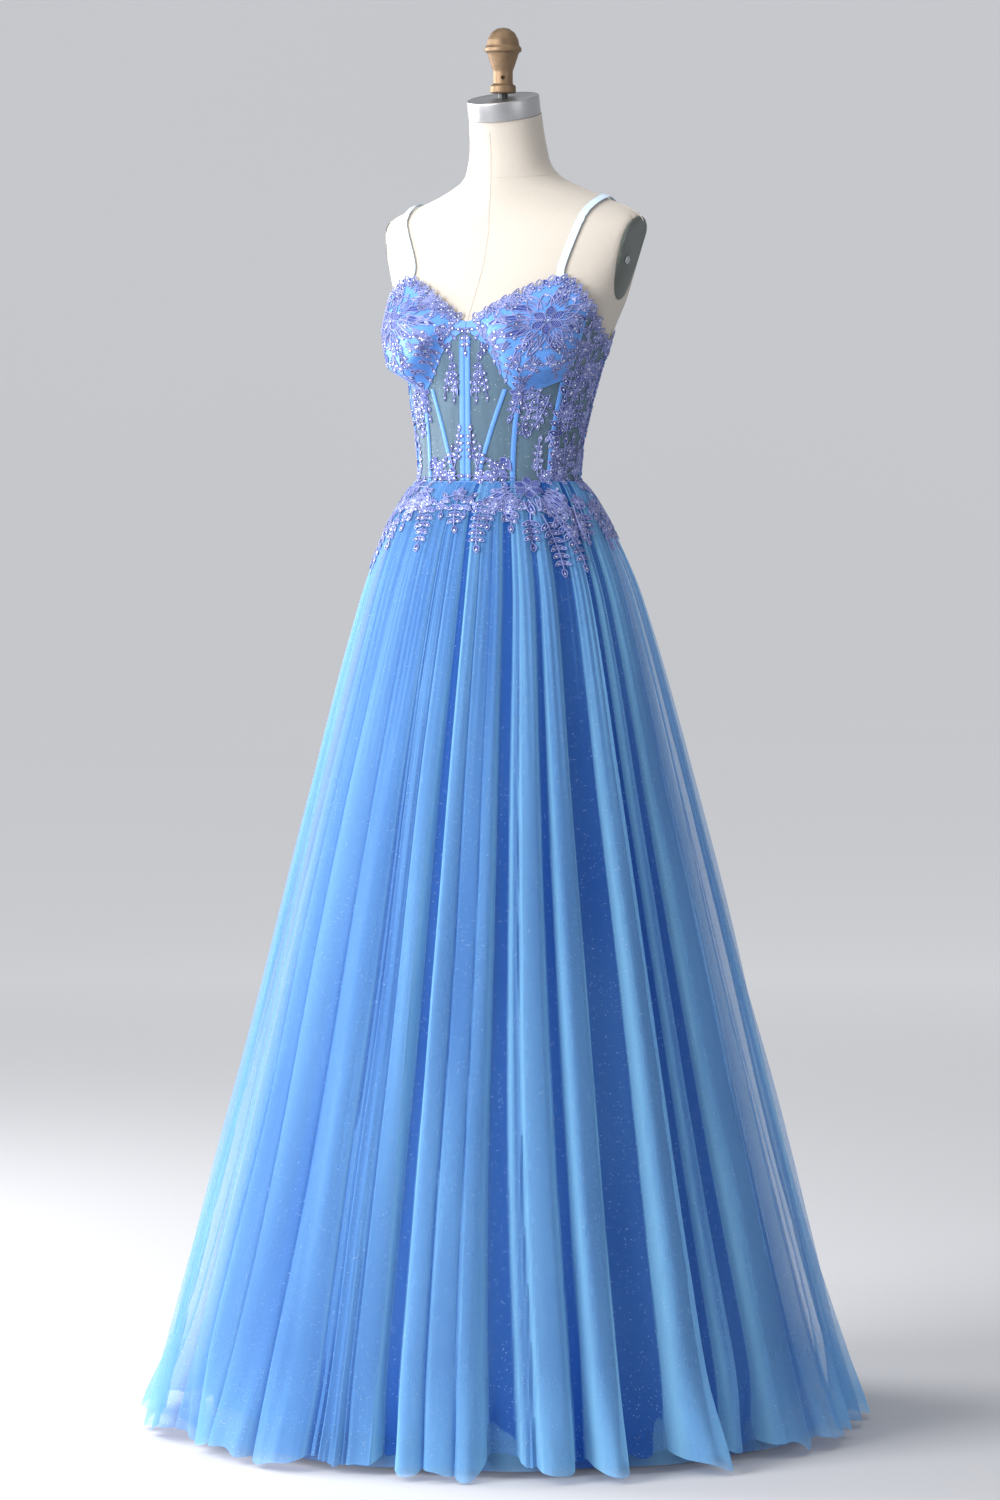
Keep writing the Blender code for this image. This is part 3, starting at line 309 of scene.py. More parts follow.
class SkirtSettings(PropertyGroup):
    """Sizes of the skirt's fine folds."""
    columns: IntProperty(name="Columns", description="Columns of the outer tulle round the skirt",
                         default=1080, min=240, max=1440)
    rows: IntProperty(name="Rows", description="Rows of the outer tulle", default=64, min=16, max=80)
    gathers: IntProperty(name="Gathers", description="Small gathers at the waist seam", default=92,
                         min=20, max=200)
    wander: FloatProperty(name="Wander", description="How far a fold strays on its way down, in degrees",
                          default=2.4, min=0.0, max=5.0)
    cover: FloatProperty(name="Cover", description="How much one layer of tulle hides", default=0.35,
                         min=0.05, max=1.0, subtype="FACTOR")


class LaceSettings(PropertyGroup):
    """Sizes of the lace."""
    cord: FloatProperty(name="Cord", description="Radius of the outline cord", default=0.00072,
                        min=0.0002, max=0.002, unit="LENGTH", precision=5)
    sequin: FloatProperty(name="Sequin", description="Radius of a sequin", default=0.00105,
                          min=0.0005, max=0.003, unit="LENGTH", precision=5)


class DressSettings(PropertyGroup):
    cloth: PointerProperty(type=ClothSettings)
    skirt: PointerProperty(type=SkirtSettings)
    lace: PointerProperty(type=LaceSettings)


def settings():
    return bpy.context.scene.prom_dress


# Shader maths
class Value:
    """A number that a material works out: Python's operators add its Math nodes."""

    def __init__(self, finish, socket):
        self.finish = finish
        self.socket = socket

    def maths(self, operation, first, second=None):
        operands = {0: first} if second is None else {0: first, 1: second}
        return self.finish.add("ShaderNodeMath", {"operation": operation}, operands)

    def __add__(self, other):
        return self.maths("ADD", self, other)

    def __sub__(self, other):
        return self.maths("SUBTRACT", self, other)

    def __rsub__(self, other):
        return self.maths("SUBTRACT", other, self)

    def __mul__(self, other):
        return self.maths("MULTIPLY", self, other)

    def __pow__(self, other):
        return self.maths("POWER", self, other)

    def __gt__(self, other):
        return self.maths("GREATER_THAN", self, other)

    def __lt__(self, other):
        return self.maths("LESS_THAN", self, other)


class Finish:
    """A material whose nodes are added one at a time."""

    def __init__(self, name, **constants):
        self.material = bpy.data.materials.new(name)
        self.material.use_nodes = True
        self.tree = self.material.node_tree
        self.shader = self.tree.nodes["Principled BSDF"]
        self.place = self.add("ShaderNodeTexCoord", output="Object")
        self.set(**constants)

    def add(self, kind, choices=None, sockets=None, output=0):
        """Add a node, with its choices first and then its sockets, and return one output."""
        node = self.tree.nodes.new(kind)
        for name, value in (choices or {}).items():
            setattr(node, name, value)
        for name, value in (sockets or {}).items():
            self.feed(node.inputs[name], value)
        return Value(self, node.outputs[output])

    def feed(self, socket, value):
        if isinstance(value, Value):
            self.tree.links.new(value.socket, socket)
        elif socket.type == "RGBA":
            socket.default_value = (*tuple(value)[:3], 1.0)
        else:
            socket.default_value = value

    def set(self, **values):
        """Set sockets of the shader; base_color stands for Base Color, and so on."""
        names = {socket.name.lower().replace(" ", "_"): socket for socket in self.shader.inputs}
        for name, value in values.items():
            self.feed(names[name], value)

    def mix(self, share, first, second):
        return self.add("ShaderNodeMix", {"data_type": "RGBA"}, {0: share, 6: first, 7: second}, output=2)

    def stretched(self, scale):
        return self.add("ShaderNodeMapping", None, {"Vector": self.place, "Scale": scale})

    def grain(self, scale, detail=2.0, place=None, roughness=0.5):
        return self.add("ShaderNodeTexNoise", None, {
            "Vector": place or self.place, "Scale": scale, "Detail": detail, "Roughness": roughness})

    def axis(self, name):
        return self.add("ShaderNodeSeparateXYZ", None, {0: self.place}, output=name)

    def attribute(self, name):
        return self.add("ShaderNodeAttribute", {"attribute_name": name}, None, output="Fac")

    def glints(self, scale, share):
        """1 in a few tiny cells and 0 elsewhere: painted glints of glitter catching the light."""
        sockets = {"Vector": self.place, "Scale": scale}
        cells = self.add("ShaderNodeTexVoronoi", None, sockets, output="Color")
        chance = self.add("ShaderNodeSeparateColor", None, {0: cells}, output=0)
        spot = self.add("ShaderNodeTexVoronoi", None, sockets, output="Distance")
        return (chance > 1.0 - share) * (spot < GLINT_RADIUS)

    def bump(self, height, distance, strength=1.0):
        made = self.add("ShaderNodeBump", None,
                        {"Height": height, "Distance": distance, "Strength": strength})
        self.set(normal=made)

    def threads(self, pitch):
        """Woven threads as a height from 0 to 1, by the piece's own UV map, in metres."""
        place = self.add("ShaderNodeUVMap", {"uv_map": "cloth"})
        across = self.add("ShaderNodeSeparateXYZ", None, {0: place}, output="X")
        along = self.add("ShaderNodeSeparateXYZ", None, {0: place}, output="Y")
        turn = math.tau / pitch
        warp = across.maths("SINE", across * turn)
        weft = along.maths("SINE", along * turn)
        return (warp * weft) * 0.5 + 0.5


# Curves and surfaces of the body and the dress
def smooth(value):
    value = min(max(value, 0.0), 1.0)
    return value * value * (3.0 - 2.0 * value)


def table_value(rows, key, column, place):
    """Value of a column at a place along the key, on a smooth curve through the rows."""
    if place <= getattr(rows[0], key):
        return getattr(rows[0], column)
    if place >= getattr(rows[-1], key):
        return getattr(rows[-1], column)
    index = 0
    while getattr(rows[index + 1], key) < place:
        index += 1
    around_rows = [rows[min(max(i, 0), len(rows) - 1)] for i in range(index - 1, index + 3)]
    keys = [getattr(row, key) for row in around_rows]
    values = [getattr(row, column) for row in around_rows]
    span = keys[2] - keys[1]
    slope_in = (values[2] - values[0]) / (keys[2] - keys[0]) * span
    slope_out = (values[3] - values[1]) / (keys[3] - keys[1]) * span
    t = (place - keys[1]) / span
    return ((2 * t ** 3 - 3 * t ** 2 + 1) * values[1] + (t ** 3 - 2 * t ** 2 + t) * slope_in
            + (3 * t ** 2 - 2 * t ** 3) * values[2] + (t ** 3 - t ** 2) * slope_out)


@functools.lru_cache(maxsize=None)
def section_at(rows, z):
    return Section(z, *(table_value(rows, "z", name, z) for name in Section._fields[1:]))


def on_section(section, angle, lift):
    """Point of a level section at an angle, moved out by lift along its level normal."""
    power = 2.0 / section.square
    sine = math.sin(angle)
    cosine = math.cos(angle)
    depth = section.front if cosine > 0.0 else section.back
    across = math.copysign(abs(sine) ** power, sine)
    forward = math.copysign(abs(cosine) ** power, cosine)
    normal = Vector((math.copysign(abs(across) ** (section.square - 1.0), sine) / section.half_width,
                     -math.copysign(abs(forward) ** (section.square - 1.0), cosine) / depth, 0.0))
    point = Vector((section.half_width * across, section.centre_y - depth * forward, section.z))
    return point + normal.normalized() * lift


@functools.lru_cache(maxsize=None)
def edge_height(edge, degrees):
    return table_value(edge, "degrees", "z", abs(degrees))


def swell(degrees, z):
    """How full the bust is at a place, from 0 to 1."""
    side = abs(degrees)
    across = smooth((side - 1.0) / 26.0) * (1.0 - smooth((side - 46.0) / 40.0))
    rise = smooth((z - edge_height(CUP_BASE, side)) / CUP_RISE)
    return across * rise * (1.0 - smooth((z - CUP_FADE_Z) / CUP_FADE))


def form_point(degrees, z, lift=0.0):
    section = section_at(FORM_SECTIONS, z)
    return on_section(section, math.radians(degrees), lift + FORM_SWELL * swell(degrees, z))


def bodice_point(degrees, z, lift=0.0):
    """Point over the form where the bodice lies: the cups stand out further than the form."""
    return form_point(degrees, z, lift + CLEAR + CUP_SWELL * swell(degrees, z))


@functools.lru_cache(maxsize=None)
def ring_value(column, z):
    return table_value(SKIRT_RINGS, "z", column, z)


def skirt_point(degrees, z, lift=0.0):
    """Point of the skirt's smooth outer form, which the crests of its folds reach."""
    return on_section(section_at(SKIRT_RINGS, z), math.radians(degrees), lift)


def fold_height(degrees):
    """Height of the outer tulle at an angle: 0 in a valley, up to 1 on a crest."""
    degrees = (degrees - FOLDS[0].start) % 360.0 + FOLDS[0].start
    for fold in FOLDS:
        if fold.start < degrees < fold.end:
            share = (degrees - fold.start) / (fold.end - fold.start)
            return fold.height * math.sin(math.pi * share) ** FOLD_ROUNDNESS
    return 0.0


def spaced(start, end, count, index):
    return start + (end - start) * index / count


# Making pieces
def finish_piece(name, cage, finishes, body=BODY, smooth_angle=40.0):
    """Turn a bmesh into a named piece that rides on a body and wears its finishes."""
    mesh = bpy.data.meshes.new(name)
    cage.to_mesh(mesh)
    cage.free()
    mesh.shade_smooth()
    mesh.set_sharp_from_angle(angle=math.radians(smooth_angle))
    made = bpy.data.objects.new(name, mesh)
    for finish in finishes:
        made.data.materials.append(finish)
    bpy.context.scene.collection.objects.link(made)
    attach(made, body)
    return made


def named(name):
    """A piece takes its node's name with this ending, because the node keeps its own."""
    return name + "_cloth"


def cloth(name, columns, rows, place, inner, outer, finish, closed=False, fold=None):
    """A sheet of cloth laid on a surface, with the thickness between inner and outer.

    place(across, up, lift) gives the point at two shares of the sheet, moved out by lift. With
    inner and outer the same it stays a single sheet. fold(across, up) may give each point's place
    on a fold, from valley to crest, and how far it is on the fold's side.
    """
    cage = bmesh.new()
    bmesh.ops.create_grid(cage, x_segments=columns, y_segments=rows, size=1.0)
    across_of = cage.verts.layers.float.new("across")
    up_of = cage.verts.layers.float.new("up")
    fold_of = cage.verts.layers.float.new("fold")
    rim_of = cage.verts.layers.float.new("rim")
    for vertex in cage.verts:
        across = round((vertex.co.x + 1.0) / 2.0 * columns) / columns
        up = round((vertex.co.y + 1.0) / 2.0 * rows) / rows
        vertex[across_of] = across
        vertex[up_of] = up
        vertex[fold_of], vertex[rim_of] = fold(across, up) if fold else (1.0, 0.0)
        vertex.co = place(across, up, outer)
    width = sum((place((i + 1) / 24, 0.5, outer) - place(i / 24, 0.5, outer)).length for i in range(24))
    length = sum((place(0.5, (i + 1) / 24, outer) - place(0.5, i / 24, outer)).length for i in range(24))
    sheet_map = cage.loops.layers.uv.new("cloth")
    for face in cage.faces:
        for loop in face.loops:
            loop[sheet_map].uv = (loop.vert[across_of] * width, loop.vert[up_of] * length)
    if closed:
        bmesh.ops.remove_doubles(cage, verts=cage.verts, dist=0.00001)
    if inner != outer:
        grown = bmesh.ops.extrude_face_region(cage, geom=cage.faces[:])
        for item in grown["geom"]:
            if isinstance(item, bmesh.types.BMVert):
                item.co = place(item[across_of], item[up_of], inner)
    bmesh.ops.recalc_face_normals(cage, faces=cage.faces)
    piece = finish_piece(named(name), cage, [finish])
    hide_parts(name)
    return piece, (width, length)


def turned(name, profile, finish, place, segments, node=None):
    """A turned piece from (radius, height) pairs that run from its foot to its head."""
    cage = bmesh.new()
    ring = [cage.verts.new((radius, 0.0, height)) for radius, height in profile]
    edges = [cage.edges.new(pair) for pair in zip(ring, ring[1:])]
    bmesh.ops.spin(cage, geom=ring + edges, cent=(0, 0, 0), axis=(0, 0, 1), angle=math.tau,
                   steps=segments, use_merge=True)
    bmesh.ops.remove_doubles(cage, verts=cage.verts, dist=0.00001)
    bmesh.ops.recalc_face_normals(cage, faces=cage.faces)
    bmesh.ops.transform(cage, verts=cage.verts, matrix=place)
    piece = finish_piece(name, cage, [finish], smooth_angle=32.0)
    if node:
        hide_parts(node)
    return piece


def rounded(corners, radius, steps=4):
    """A profile whose inner corners are rounded off, as (radius, height) pairs."""
    points = [corners[0]]
    for before, corner, after in zip(corners, corners[1:], corners[2:]):
        corner = Vector(corner)
        back = (Vector(before) - corner)
        ahead = (Vector(after) - corner)
        reach = min(radius, back.length / 2.0, ahead.length / 2.0)
        start = corner + back.normalized() * reach
        end = corner + ahead.normalized() * reach
        for index in range(steps + 1):
            t = index / steps
            point = start * (1 - t) ** 2 + corner * 2 * t * (1 - t) + end * t * t
            points.append((point.x, point.y))
    points.append(corners[-1])
    return points


def tubes(name, strands, sides=1):
    """A mesh of round cords. Each strand is (points, radius, closed); sides sets how round."""
    curve = bpy.data.curves.new(name, "CURVE")
    curve.dimensions = "3D"
    curve.bevel_depth = 1.0
    curve.bevel_resolution = sides
    curve.use_fill_caps = True
    curve.resolution_u = 1
    for points, radius, closed in strands:
        spline = curve.splines.new("POLY")
        spline.points.add(len(points) - 1)
        for slot, point in zip(spline.points, points):
            slot.co = (*point, 1.0)
            slot.radius = radius
        spline.use_cyclic_u = closed
    holder = bpy.data.objects.new(name, curve)
    bpy.context.scene.collection.objects.link(holder)
    mesh = bpy.data.meshes.new_from_object(holder)
    bpy.data.objects.remove(holder)
    bpy.data.curves.remove(curve)
    cage = bmesh.new()
    cage.from_mesh(mesh)
    bpy.data.meshes.remove(mesh)
    bmesh.ops.remove_doubles(cage, verts=cage.verts, dist=0.000001)
    bmesh.ops.recalc_face_normals(cage, faces=cage.faces)
    return cage


# Finishes
def satin_finish(name, colour, roughness=0.42):
    """Satin with a faint weave and long soft streaks along the cloth."""
    satin = Finish(name, roughness=roughness, specular_ior_level=0.3, sheen_weight=0.1, sheen_roughness=0.4)
    streak = satin.grain(9.0, detail=3.0, place=satin.stretched((8.0, 8.0, 1.6)))
    satin.set(base_color=satin.mix(streak, tuple(0.86 * c for c in colour),
                                   tuple(min(1.12 * c + 0.015, 1.0) for c in colour)),
              roughness=streak * 0.12 + (roughness - 0.06))
    satin.bump(satin.threads(0.0007) * 0.4 + satin.grain(120.0) * 0.6, 0.00018, 0.5)
    return satin.material


def tulle_finish(name, crest, deep, cover):
    """Tulle: a see-through net, pale on its crests and dense in its valleys, with painted shade in them;
    painted highlights on the sides of its folds, a faint painted glow all over, and painted glints of
    glitter.
    """
    tulle = Finish(name, roughness=0.82, specular_ior_level=0.08)
    fold = tulle.attribute("fold")
    rim = tulle.attribute("rim")
    cloud = tulle.grain(11.0, detail=3.0, place=tulle.stretched((1.0, 1.0, 0.2)))
    thread = tulle.grain(170.0, detail=2.0, place=tulle.stretched((1.0, 1.0, 0.02)))
    broad = tulle.grain(3.2, detail=2.0, place=tulle.stretched((1.0, 1.0, 0.35)))
    # painted shade: the colour darkens from crest to valley with the fold's height, partly for net that
    # bunches in the valleys, partly for the shade there; two noises vary it at random
    shade = fold * 0.85 + cloud * 0.20 + broad * 0.50 - 0.34
    # painted highlight: the colour turns paler on the sides of the folds, partly for the net that lies
    # doubled there, partly as a highlight
    bright = tuple(min(1.35 * c + 0.05, 1.0) for c in crest)
    tone = tulle.mix(rim * 0.35, tulle.mix(shade, deep, crest), bright)
    # painted glints: tiny pale spots that also glow, for glitter catching the light
    glint = tulle.glints(900.0, 0.02)
    low = (0.14 - tulle.axis("Z")) * 8.0
    low = low.maths("MAXIMUM", low, 0.0)
    # painted light: the whole net glows faintly in its own tone, standing in for light passing through it;
    # the glints glow paler
    tulle.set(base_color=tulle.mix(glint, tone, (0.95, 0.97, 1.0)),
              alpha=(rim * 0.35 - fold * 0.55 + thread * 0.22 + low * 0.5) * cover + (1.40 * cover),
              emission_color=tulle.mix(glint, tone, (0.8, 0.9, 1.0)), emission_strength=0.12)
    return tulle.material


def mesh_finish(name, colour):
    """Sheer mesh over the form: fine rib lines, soft streaks and a little glitter as painted glints."""
    mesh = Finish(name, roughness=0.62, specular_ior_level=0.3, sheen_weight=0.2, sheen_roughness=0.5)
    streak = mesh.grain(7.0, detail=4.0, place=mesh.stretched((9.0, 9.0, 1.0)), roughness=0.65)
    # painted glints: tiny pale spots for glitter catching the light
    glint = mesh.glints(900.0, 0.02)
    tone = mesh.mix(streak, tuple(0.7 * c for c in colour), tuple(1.35 * c for c in colour))
    mesh.set(base_color=mesh.mix(glint, tone, (0.85, 0.95, 0.95)), alpha=streak * 0.30 + 0.60)
    mesh.bump(mesh.threads(0.0012), 0.0002, 0.5)
    return mesh.material


def lining_finish(name, colour):
    lining = Finish(name, roughness=0.6, specular_ior_level=0.2)
    fold = lining.attribute("fold")
    cloud = lining.grain(5.0, detail=2.0, place=lining.stretched((1.0, 1.0, 0.3)))
    tone = lining.mix(cloud, tuple(0.75 * c for c in colour), tuple(min(1.15 * c, 1.0) for c in colour))
    # painted shade: the lining is darker in the valleys of its waves, after its fold attribute
    lining.set(base_color=lining.mix(fold, tuple(0.7 * c for c in colour), tone))
    lining.bump(lining.threads(0.0008), 0.00015, 0.4)
    return lining.material


def cord_finish(name, colour):
    """Twisted lace cord in two tones of the same thread, the pale tone partly painted highlight, with darker
    specks along the twist.
    """
    cord = Finish(name, roughness=0.45, specular_ior_level=0.55, sheen_weight=0.3, sheen_roughness=0.4)
    twist = cord.grain(900.0, detail=1.0)
    patch = cord.grain(60.0, detail=2.0)
    # painted highlight: pale patches on the cord, partly a second tone of thread
    pale = tuple(min(1.6 * c + 0.22, 1.0) for c in colour)
    tone = cord.mix(patch * 1.7 - 0.35, tuple(0.55 * c for c in colour), pale)
    cord.set(base_color=cord.mix(twist * 0.5, tone, tuple(0.5 * c for c in colour)),
             roughness=twist * 0.3 + 0.3)
    cord.bump(twist, 0.0002, 0.7)
    return cord.material


def fill_finish(name, colour):
    """Embroidered ground inside the lace's petals and leaves: dark navy thread made darker still as painted
    shade between the cords, with the painted sheen of close stitches.
    """
    fill = Finish(name, roughness=0.55, specular_ior_level=0.4, sheen_weight=0.25, sheen_roughness=0.4)
    stitch = fill.grain(700.0, detail=1.0)
    # painted shade and sheen: the ground is darker than its thread for the shade among the cords, and flecked
    # lighter for the sheen of its stitches
    dark, lit = ((shade * 0.10 * colour[0], shade * 0.18 * colour[1], shade * 0.34 * colour[2])
                 for shade in (1.0, 2.6))
    fill.set(base_color=fill.mix(stitch, dark, lit))
    fill.bump(stitch, 0.0002, 0.6)
    return fill.material


def sequin_finish(name):
    sequin = Finish(name, metallic=0.55, specular_ior_level=0.8, coat_weight=0.4, coat_roughness=0.08)
    tint = sequin.grain(180.0, detail=0.0)
    sequin.set(base_color=sequin.mix(tint > 0.5, (0.62, 0.68, 0.92), (0.90, 0.92, 1.0)),
               roughness=tint * 0.25 + 0.04)
    return sequin.material


def canvas_finish(name, colour):
    """Plain canvas cover with a fine weave and slight handling marks."""
    canvas = Finish(name, roughness=0.85, specular_ior_level=0.25, sheen_weight=0.15, sheen_roughness=0.6)
    wear = canvas.grain(4.0, detail=4.0, roughness=0.6)
    fleck = canvas.grain(260.0, detail=2.0)
    tone = canvas.mix(wear, tuple(0.90 * c for c in colour), tuple(min(1.04 * c, 1.0) for c in colour))
    canvas.set(base_color=canvas.mix(fleck * 0.25, tone, tuple(0.72 * c for c in colour)))
    canvas.bump(fleck + wear * 0.4, 0.0003, 0.35)
    return canvas.material


def steel_finish(name, tone=(0.50, 0.51, 0.53)):
    """Steel brushed round its axis."""
    steel = Finish(name, metallic=1.0, anisotropic=0.4)
    brush = steel.grain(3.0, detail=5.0, place=steel.stretched((6.0, 6.0, 900.0)), roughness=0.7)
    steel.set(base_color=steel.mix(brush, tuple(0.75 * c for c in tone), tuple(1.15 * c for c in tone)),
              roughness=brush * 0.22 + 0.24)
    steel.bump(brush, 0.00006, 0.4)
    return steel.material


def bronze_finish(name):
    """Antique bronze: dark in patches, rubbed bright on the rest."""
    bronze = Finish(name, metallic=0.85)
    patina = bronze.grain(55.0, detail=5.0, roughness=0.6)
    rubbed = bronze.grain(16.0, detail=2.0)
    tone = bronze.mix(patina, (0.06, 0.040, 0.024), (0.34, 0.23, 0.14))
    bronze.set(base_color=bronze.mix(rubbed * 0.35, tone, (0.30, 0.20, 0.12)), roughness=patina * 0.25 + 0.42)
    bronze.bump(patina, 0.0002, 0.4)
    return bronze.material


def painted_finish(name, colour, roughness, scale=40.0):
    """Paint on metal with a slight orange peel and rubbed spots."""
    paint = Finish(name, metallic=0.25, specular_ior_level=0.5)
    spot = paint.grain(scale, detail=4.0, roughness=0.6)
    paint.set(base_color=paint.mix(spot, tuple(0.7 * c for c in colour), tuple(1.4 * c for c in colour)),
              roughness=spot * 0.2 + (roughness - 0.1))
    paint.bump(paint.grain(300.0), 0.0001, 0.3)
    return paint.material


def polished_finish(name, colour):
    metal = Finish(name, metallic=1.0)
    scratch = metal.grain(220.0, detail=3.0)
    metal.set(base_color=metal.mix(scratch, tuple(0.8 * c for c in colour), colour),
              roughness=scratch * 0.2 + 0.12)
    return metal.material


@functools.lru_cache(maxsize=None)
def finish_of(kind):
    """The finish of that kind, made the first time that it is asked for."""
    colours = settings().cloth
    cover = settings().skirt.cover
    makers = {
        "satin": lambda: satin_finish("satin", colours.satin),
        "strap_satin": lambda: satin_finish("strap_satin", (0.62, 0.77, 0.95), 0.6),
        "mesh": lambda: mesh_finish("bodice_mesh", colours.mesh),
        "tulle": lambda: tulle_finish("tulle_outer", colours.tulle, colours.tulle_deep, cover),
        # painted shade: the inner tulle gets the outer crest colour at 0.6, darker for lying under the outer
        # tulle
        "tulle_inner": lambda: tulle_finish("tulle_inner", tuple(0.6 * c for c in colours.tulle),
                                            colours.tulle_deep, cover * 0.9),
        "lining": lambda: lining_finish("lining", colours.lining),
        "cord": lambda: cord_finish("lace_cord", colours.lace),
        "fill": lambda: fill_finish("lace_fill", colours.lace),
        "sequin": lambda: sequin_finish("sequins"),
        "canvas": lambda: canvas_finish("canvas", colours.canvas),
        "seam": lambda: canvas_finish("canvas_seam", (0.565, 0.505, 0.44)),
        "steel": lambda: steel_finish("steel", (0.42, 0.42, 0.43)),
        "bronze": lambda: bronze_finish("bronze"),
        "plate": lambda: painted_finish("arm_plate", (0.10, 0.115, 0.105), 0.42),
        "black": lambda: painted_finish("black_metal", (0.022, 0.022, 0.024), 0.40),
        "zip_tape": lambda: satin_finish("zip_tape", (0.09, 0.26, 0.66), 0.55),
        "zip_metal": lambda: polished_finish("zip_metal", (0.60, 0.68, 0.80)),
        "thread": lambda: cord_finish("thread", colours.satin),
    }
    return makers[kind]()


# Form
def cut_flat(cage, point, normal):
    """Cut a closed cage off at a plane and close the cut with a flat face."""
    geometry = cage.verts[:] + cage.edges[:] + cage.faces[:]
    cut = bmesh.ops.bisect_plane(cage, geom=geometry, dist=0.00001, plane_co=point,
                                 plane_no=normal, clear_outer=True)
    edges = [item for item in cut["geom_cut"] if isinstance(item, bmesh.types.BMEdge)]
    bmesh.ops.edgenet_fill(cage, edges=edges)


@functools.lru_cache(maxsize=None)
def whole_form():
    """The torso before its arms are cut, as a closed fine cage, with its skin for laying straps."""
    columns = 96
    rows = 104
    top = 1.660
    cage = bmesh.new()
    bmesh.ops.create_grid(cage, x_segments=columns, y_segments=rows, size=1.0)
    for vertex in cage.verts:
        column = round((vertex.co.x + 1.0) / 2.0 * columns)
        row = round((vertex.co.y + 1.0) / 2.0 * rows)
        vertex.co = form_point(column * 360.0 / columns, spaced(FORM_FOOT_Z, top, rows, row))
    bmesh.ops.remove_doubles(cage, verts=cage.verts, dist=0.00001)
    bmesh.ops.holes_fill(cage, edges=[edge for edge in cage.edges if edge.is_boundary], sides=0)
    bmesh.ops.recalc_face_normals(cage, faces=cage.faces)
    cut_flat(cage, NECK_TOP, Vector((0.0, -math.sin(NECK_LEAN), math.cos(NECK_LEAN))))
    return cage, BVHTree.FromBMesh(cage)


def arm_frame(side):
    """The point and the outward direction of the flat cut on one arm."""
    centre = Vector((side * PLATE_CENTRE.x, PLATE_CENTRE.y, PLATE_CENTRE.z))
    return centre, Vector((side * math.cos(PLATE_LEAN), 0.0, -math.sin(PLATE_LEAN)))


def flatten_arm(cage, side):
    """Press the arm flat onto its cut: what reaches past the plane is brought back to it."""
    centre, outward = arm_frame(side)
    for vertex in cage.verts:
        reach = (vertex.co - centre).dot(outward)
        if reach > 0.0 and vertex.co.z > PLATE_CENTRE.z - ARM_CUTTER_DROP:
            vertex.co -= outward * reach


def build_form():
    """Canvas torso, its seams, the arm plates with their bolts, the neck cap and the finial."""
    whole = whole_form()[0]
    cage = whole.copy()
    for side in (1.0, -1.0):
        flatten_arm(cage, side)
    torso = finish_piece("form_canvas", cage, [finish_of("canvas")], smooth_angle=50.0)
    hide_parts("form_torso")
    build_form_seams()
    for side, word in ((1.0, "left"), (-1.0, "right")):
        build_arm_plate(side, word)
    build_neck_cap()
    build_finial()


def build_form_seams():
    """Seams of the canvas cover: centre front and back, the foot of the neck, and the shoulders."""
    raised = 0.00005
    radius = 0.00045
    strands = []
    for degrees, low in ((0.0, 1.3735), (180.0, 1.3360)):
        line = [form_point(degrees, spaced(low, 1.605, 60, index), raised) for index in range(61)]
        strands.append((line, radius, False))
    ring = [form_point(step * 5.0, 1.5560 - 0.006 * math.cos(math.radians(step * 5.0)), raised)
            for step in range(72)]
    strands.append((ring, radius, True))
    for side in (1.0, -1.0):
        line = [form_point(side * (88.0 - 6.0 * index / 30.0), spaced(1.4960, 1.5500, 30, index), raised)
                for index in range(31)]
        strands.append((line, radius, False))
    seams = finish_piece("form_seams", tubes("form_seams", strands), [finish_of("seam")])


def build_arm_plate(side, word):
    """A flat plate over the cut arm, and the round bolt head in its middle."""
    centre, outward = arm_frame(side)
    plate = whole_form()[0].copy()
    seat = 0.0003
    cut_flat(plate, centre - Vector((0.0, 0.0, ARM_CUTTER_DROP - 0.008)), Vector((0.0, 0.0, -1.0)))
    cut_flat(plate, centre + outward * seat, -outward)
    cut_flat(plate, centre + outward * (seat + PLATE_THICKNESS), outward)
    bmesh.ops.recalc_face_normals(plate, faces=plate.faces)
    bmesh.ops.dissolve_limit(plate, angle_limit=0.02, verts=plate.verts, edges=plate.edges)
    edges = [edge for edge in plate.edges if edge.calc_face_angle(0.0) > 0.9]
    bmesh.ops.bevel(plate, geom=edges, offset=0.0006, offset_type="OFFSET", segments=2, profile=0.5,
                    affect="EDGES", material=-1)
    made = finish_piece("arm_plate_%s_metal" % word, plate, [finish_of("plate")])
    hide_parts("arm_plate_" + word)
    turn = outward.to_track_quat("Z", "Y").to_matrix().to_4x4()
    bolt_place = Matrix.Translation(centre + outward * (seat + PLATE_THICKNESS)) @ turn
    profile = rounded(((0.0, 0.0), (0.0052, 0.0), (0.0052, 0.0014), (0.0036, 0.0024), (0.0022, 0.0020),
                       (0.0018, 0.0006), (0.0, 0.0006)), 0.0005, steps=2)
    bolt = turned("arm_bolt_" + word, profile, finish_of("steel"), bolt_place, 32)


def build_neck_cap():
    lean = Matrix.Rotation(NECK_LEAN, 4, "X")
    seat = NECK_TOP + lean @ Vector((0.0, 0.0, 0.0003))
    lip = 0.0016
    corners = ((0.0, 0.0), (CAP_RADIUS - 0.0004, 0.0), (CAP_RADIUS, 0.0006), (CAP_RADIUS, CAP_HEIGHT - lip),
               (CAP_RADIUS - 0.0005, CAP_HEIGHT - 0.0003), (CAP_RADIUS - lip, CAP_HEIGHT),
               (CAP_RADIUS - 2.0 * lip, CAP_HEIGHT - 0.0006), (0.0, CAP_HEIGHT - 0.0006))
    cap = turned("neck_cap_steel", rounded(corners, 0.0004, steps=2), finish_of("steel"),
                 Matrix.Translation(seat) @ lean, 96, node="neck_cap")
    stem_height = 0.0066
    foot = FINIAL_FOOT_Z - 0.0003 - stem_height
    stem = turned("finial_stem_rod", ((0.0, 0.0), (STEM_RADIUS, 0.0), (STEM_RADIUS, stem_height),
                                      (0.0, stem_height)), finish_of("black"),
                  Matrix.Translation((0.0, FINIAL_AXIS_Y, foot)), 40, node="finial_stem")


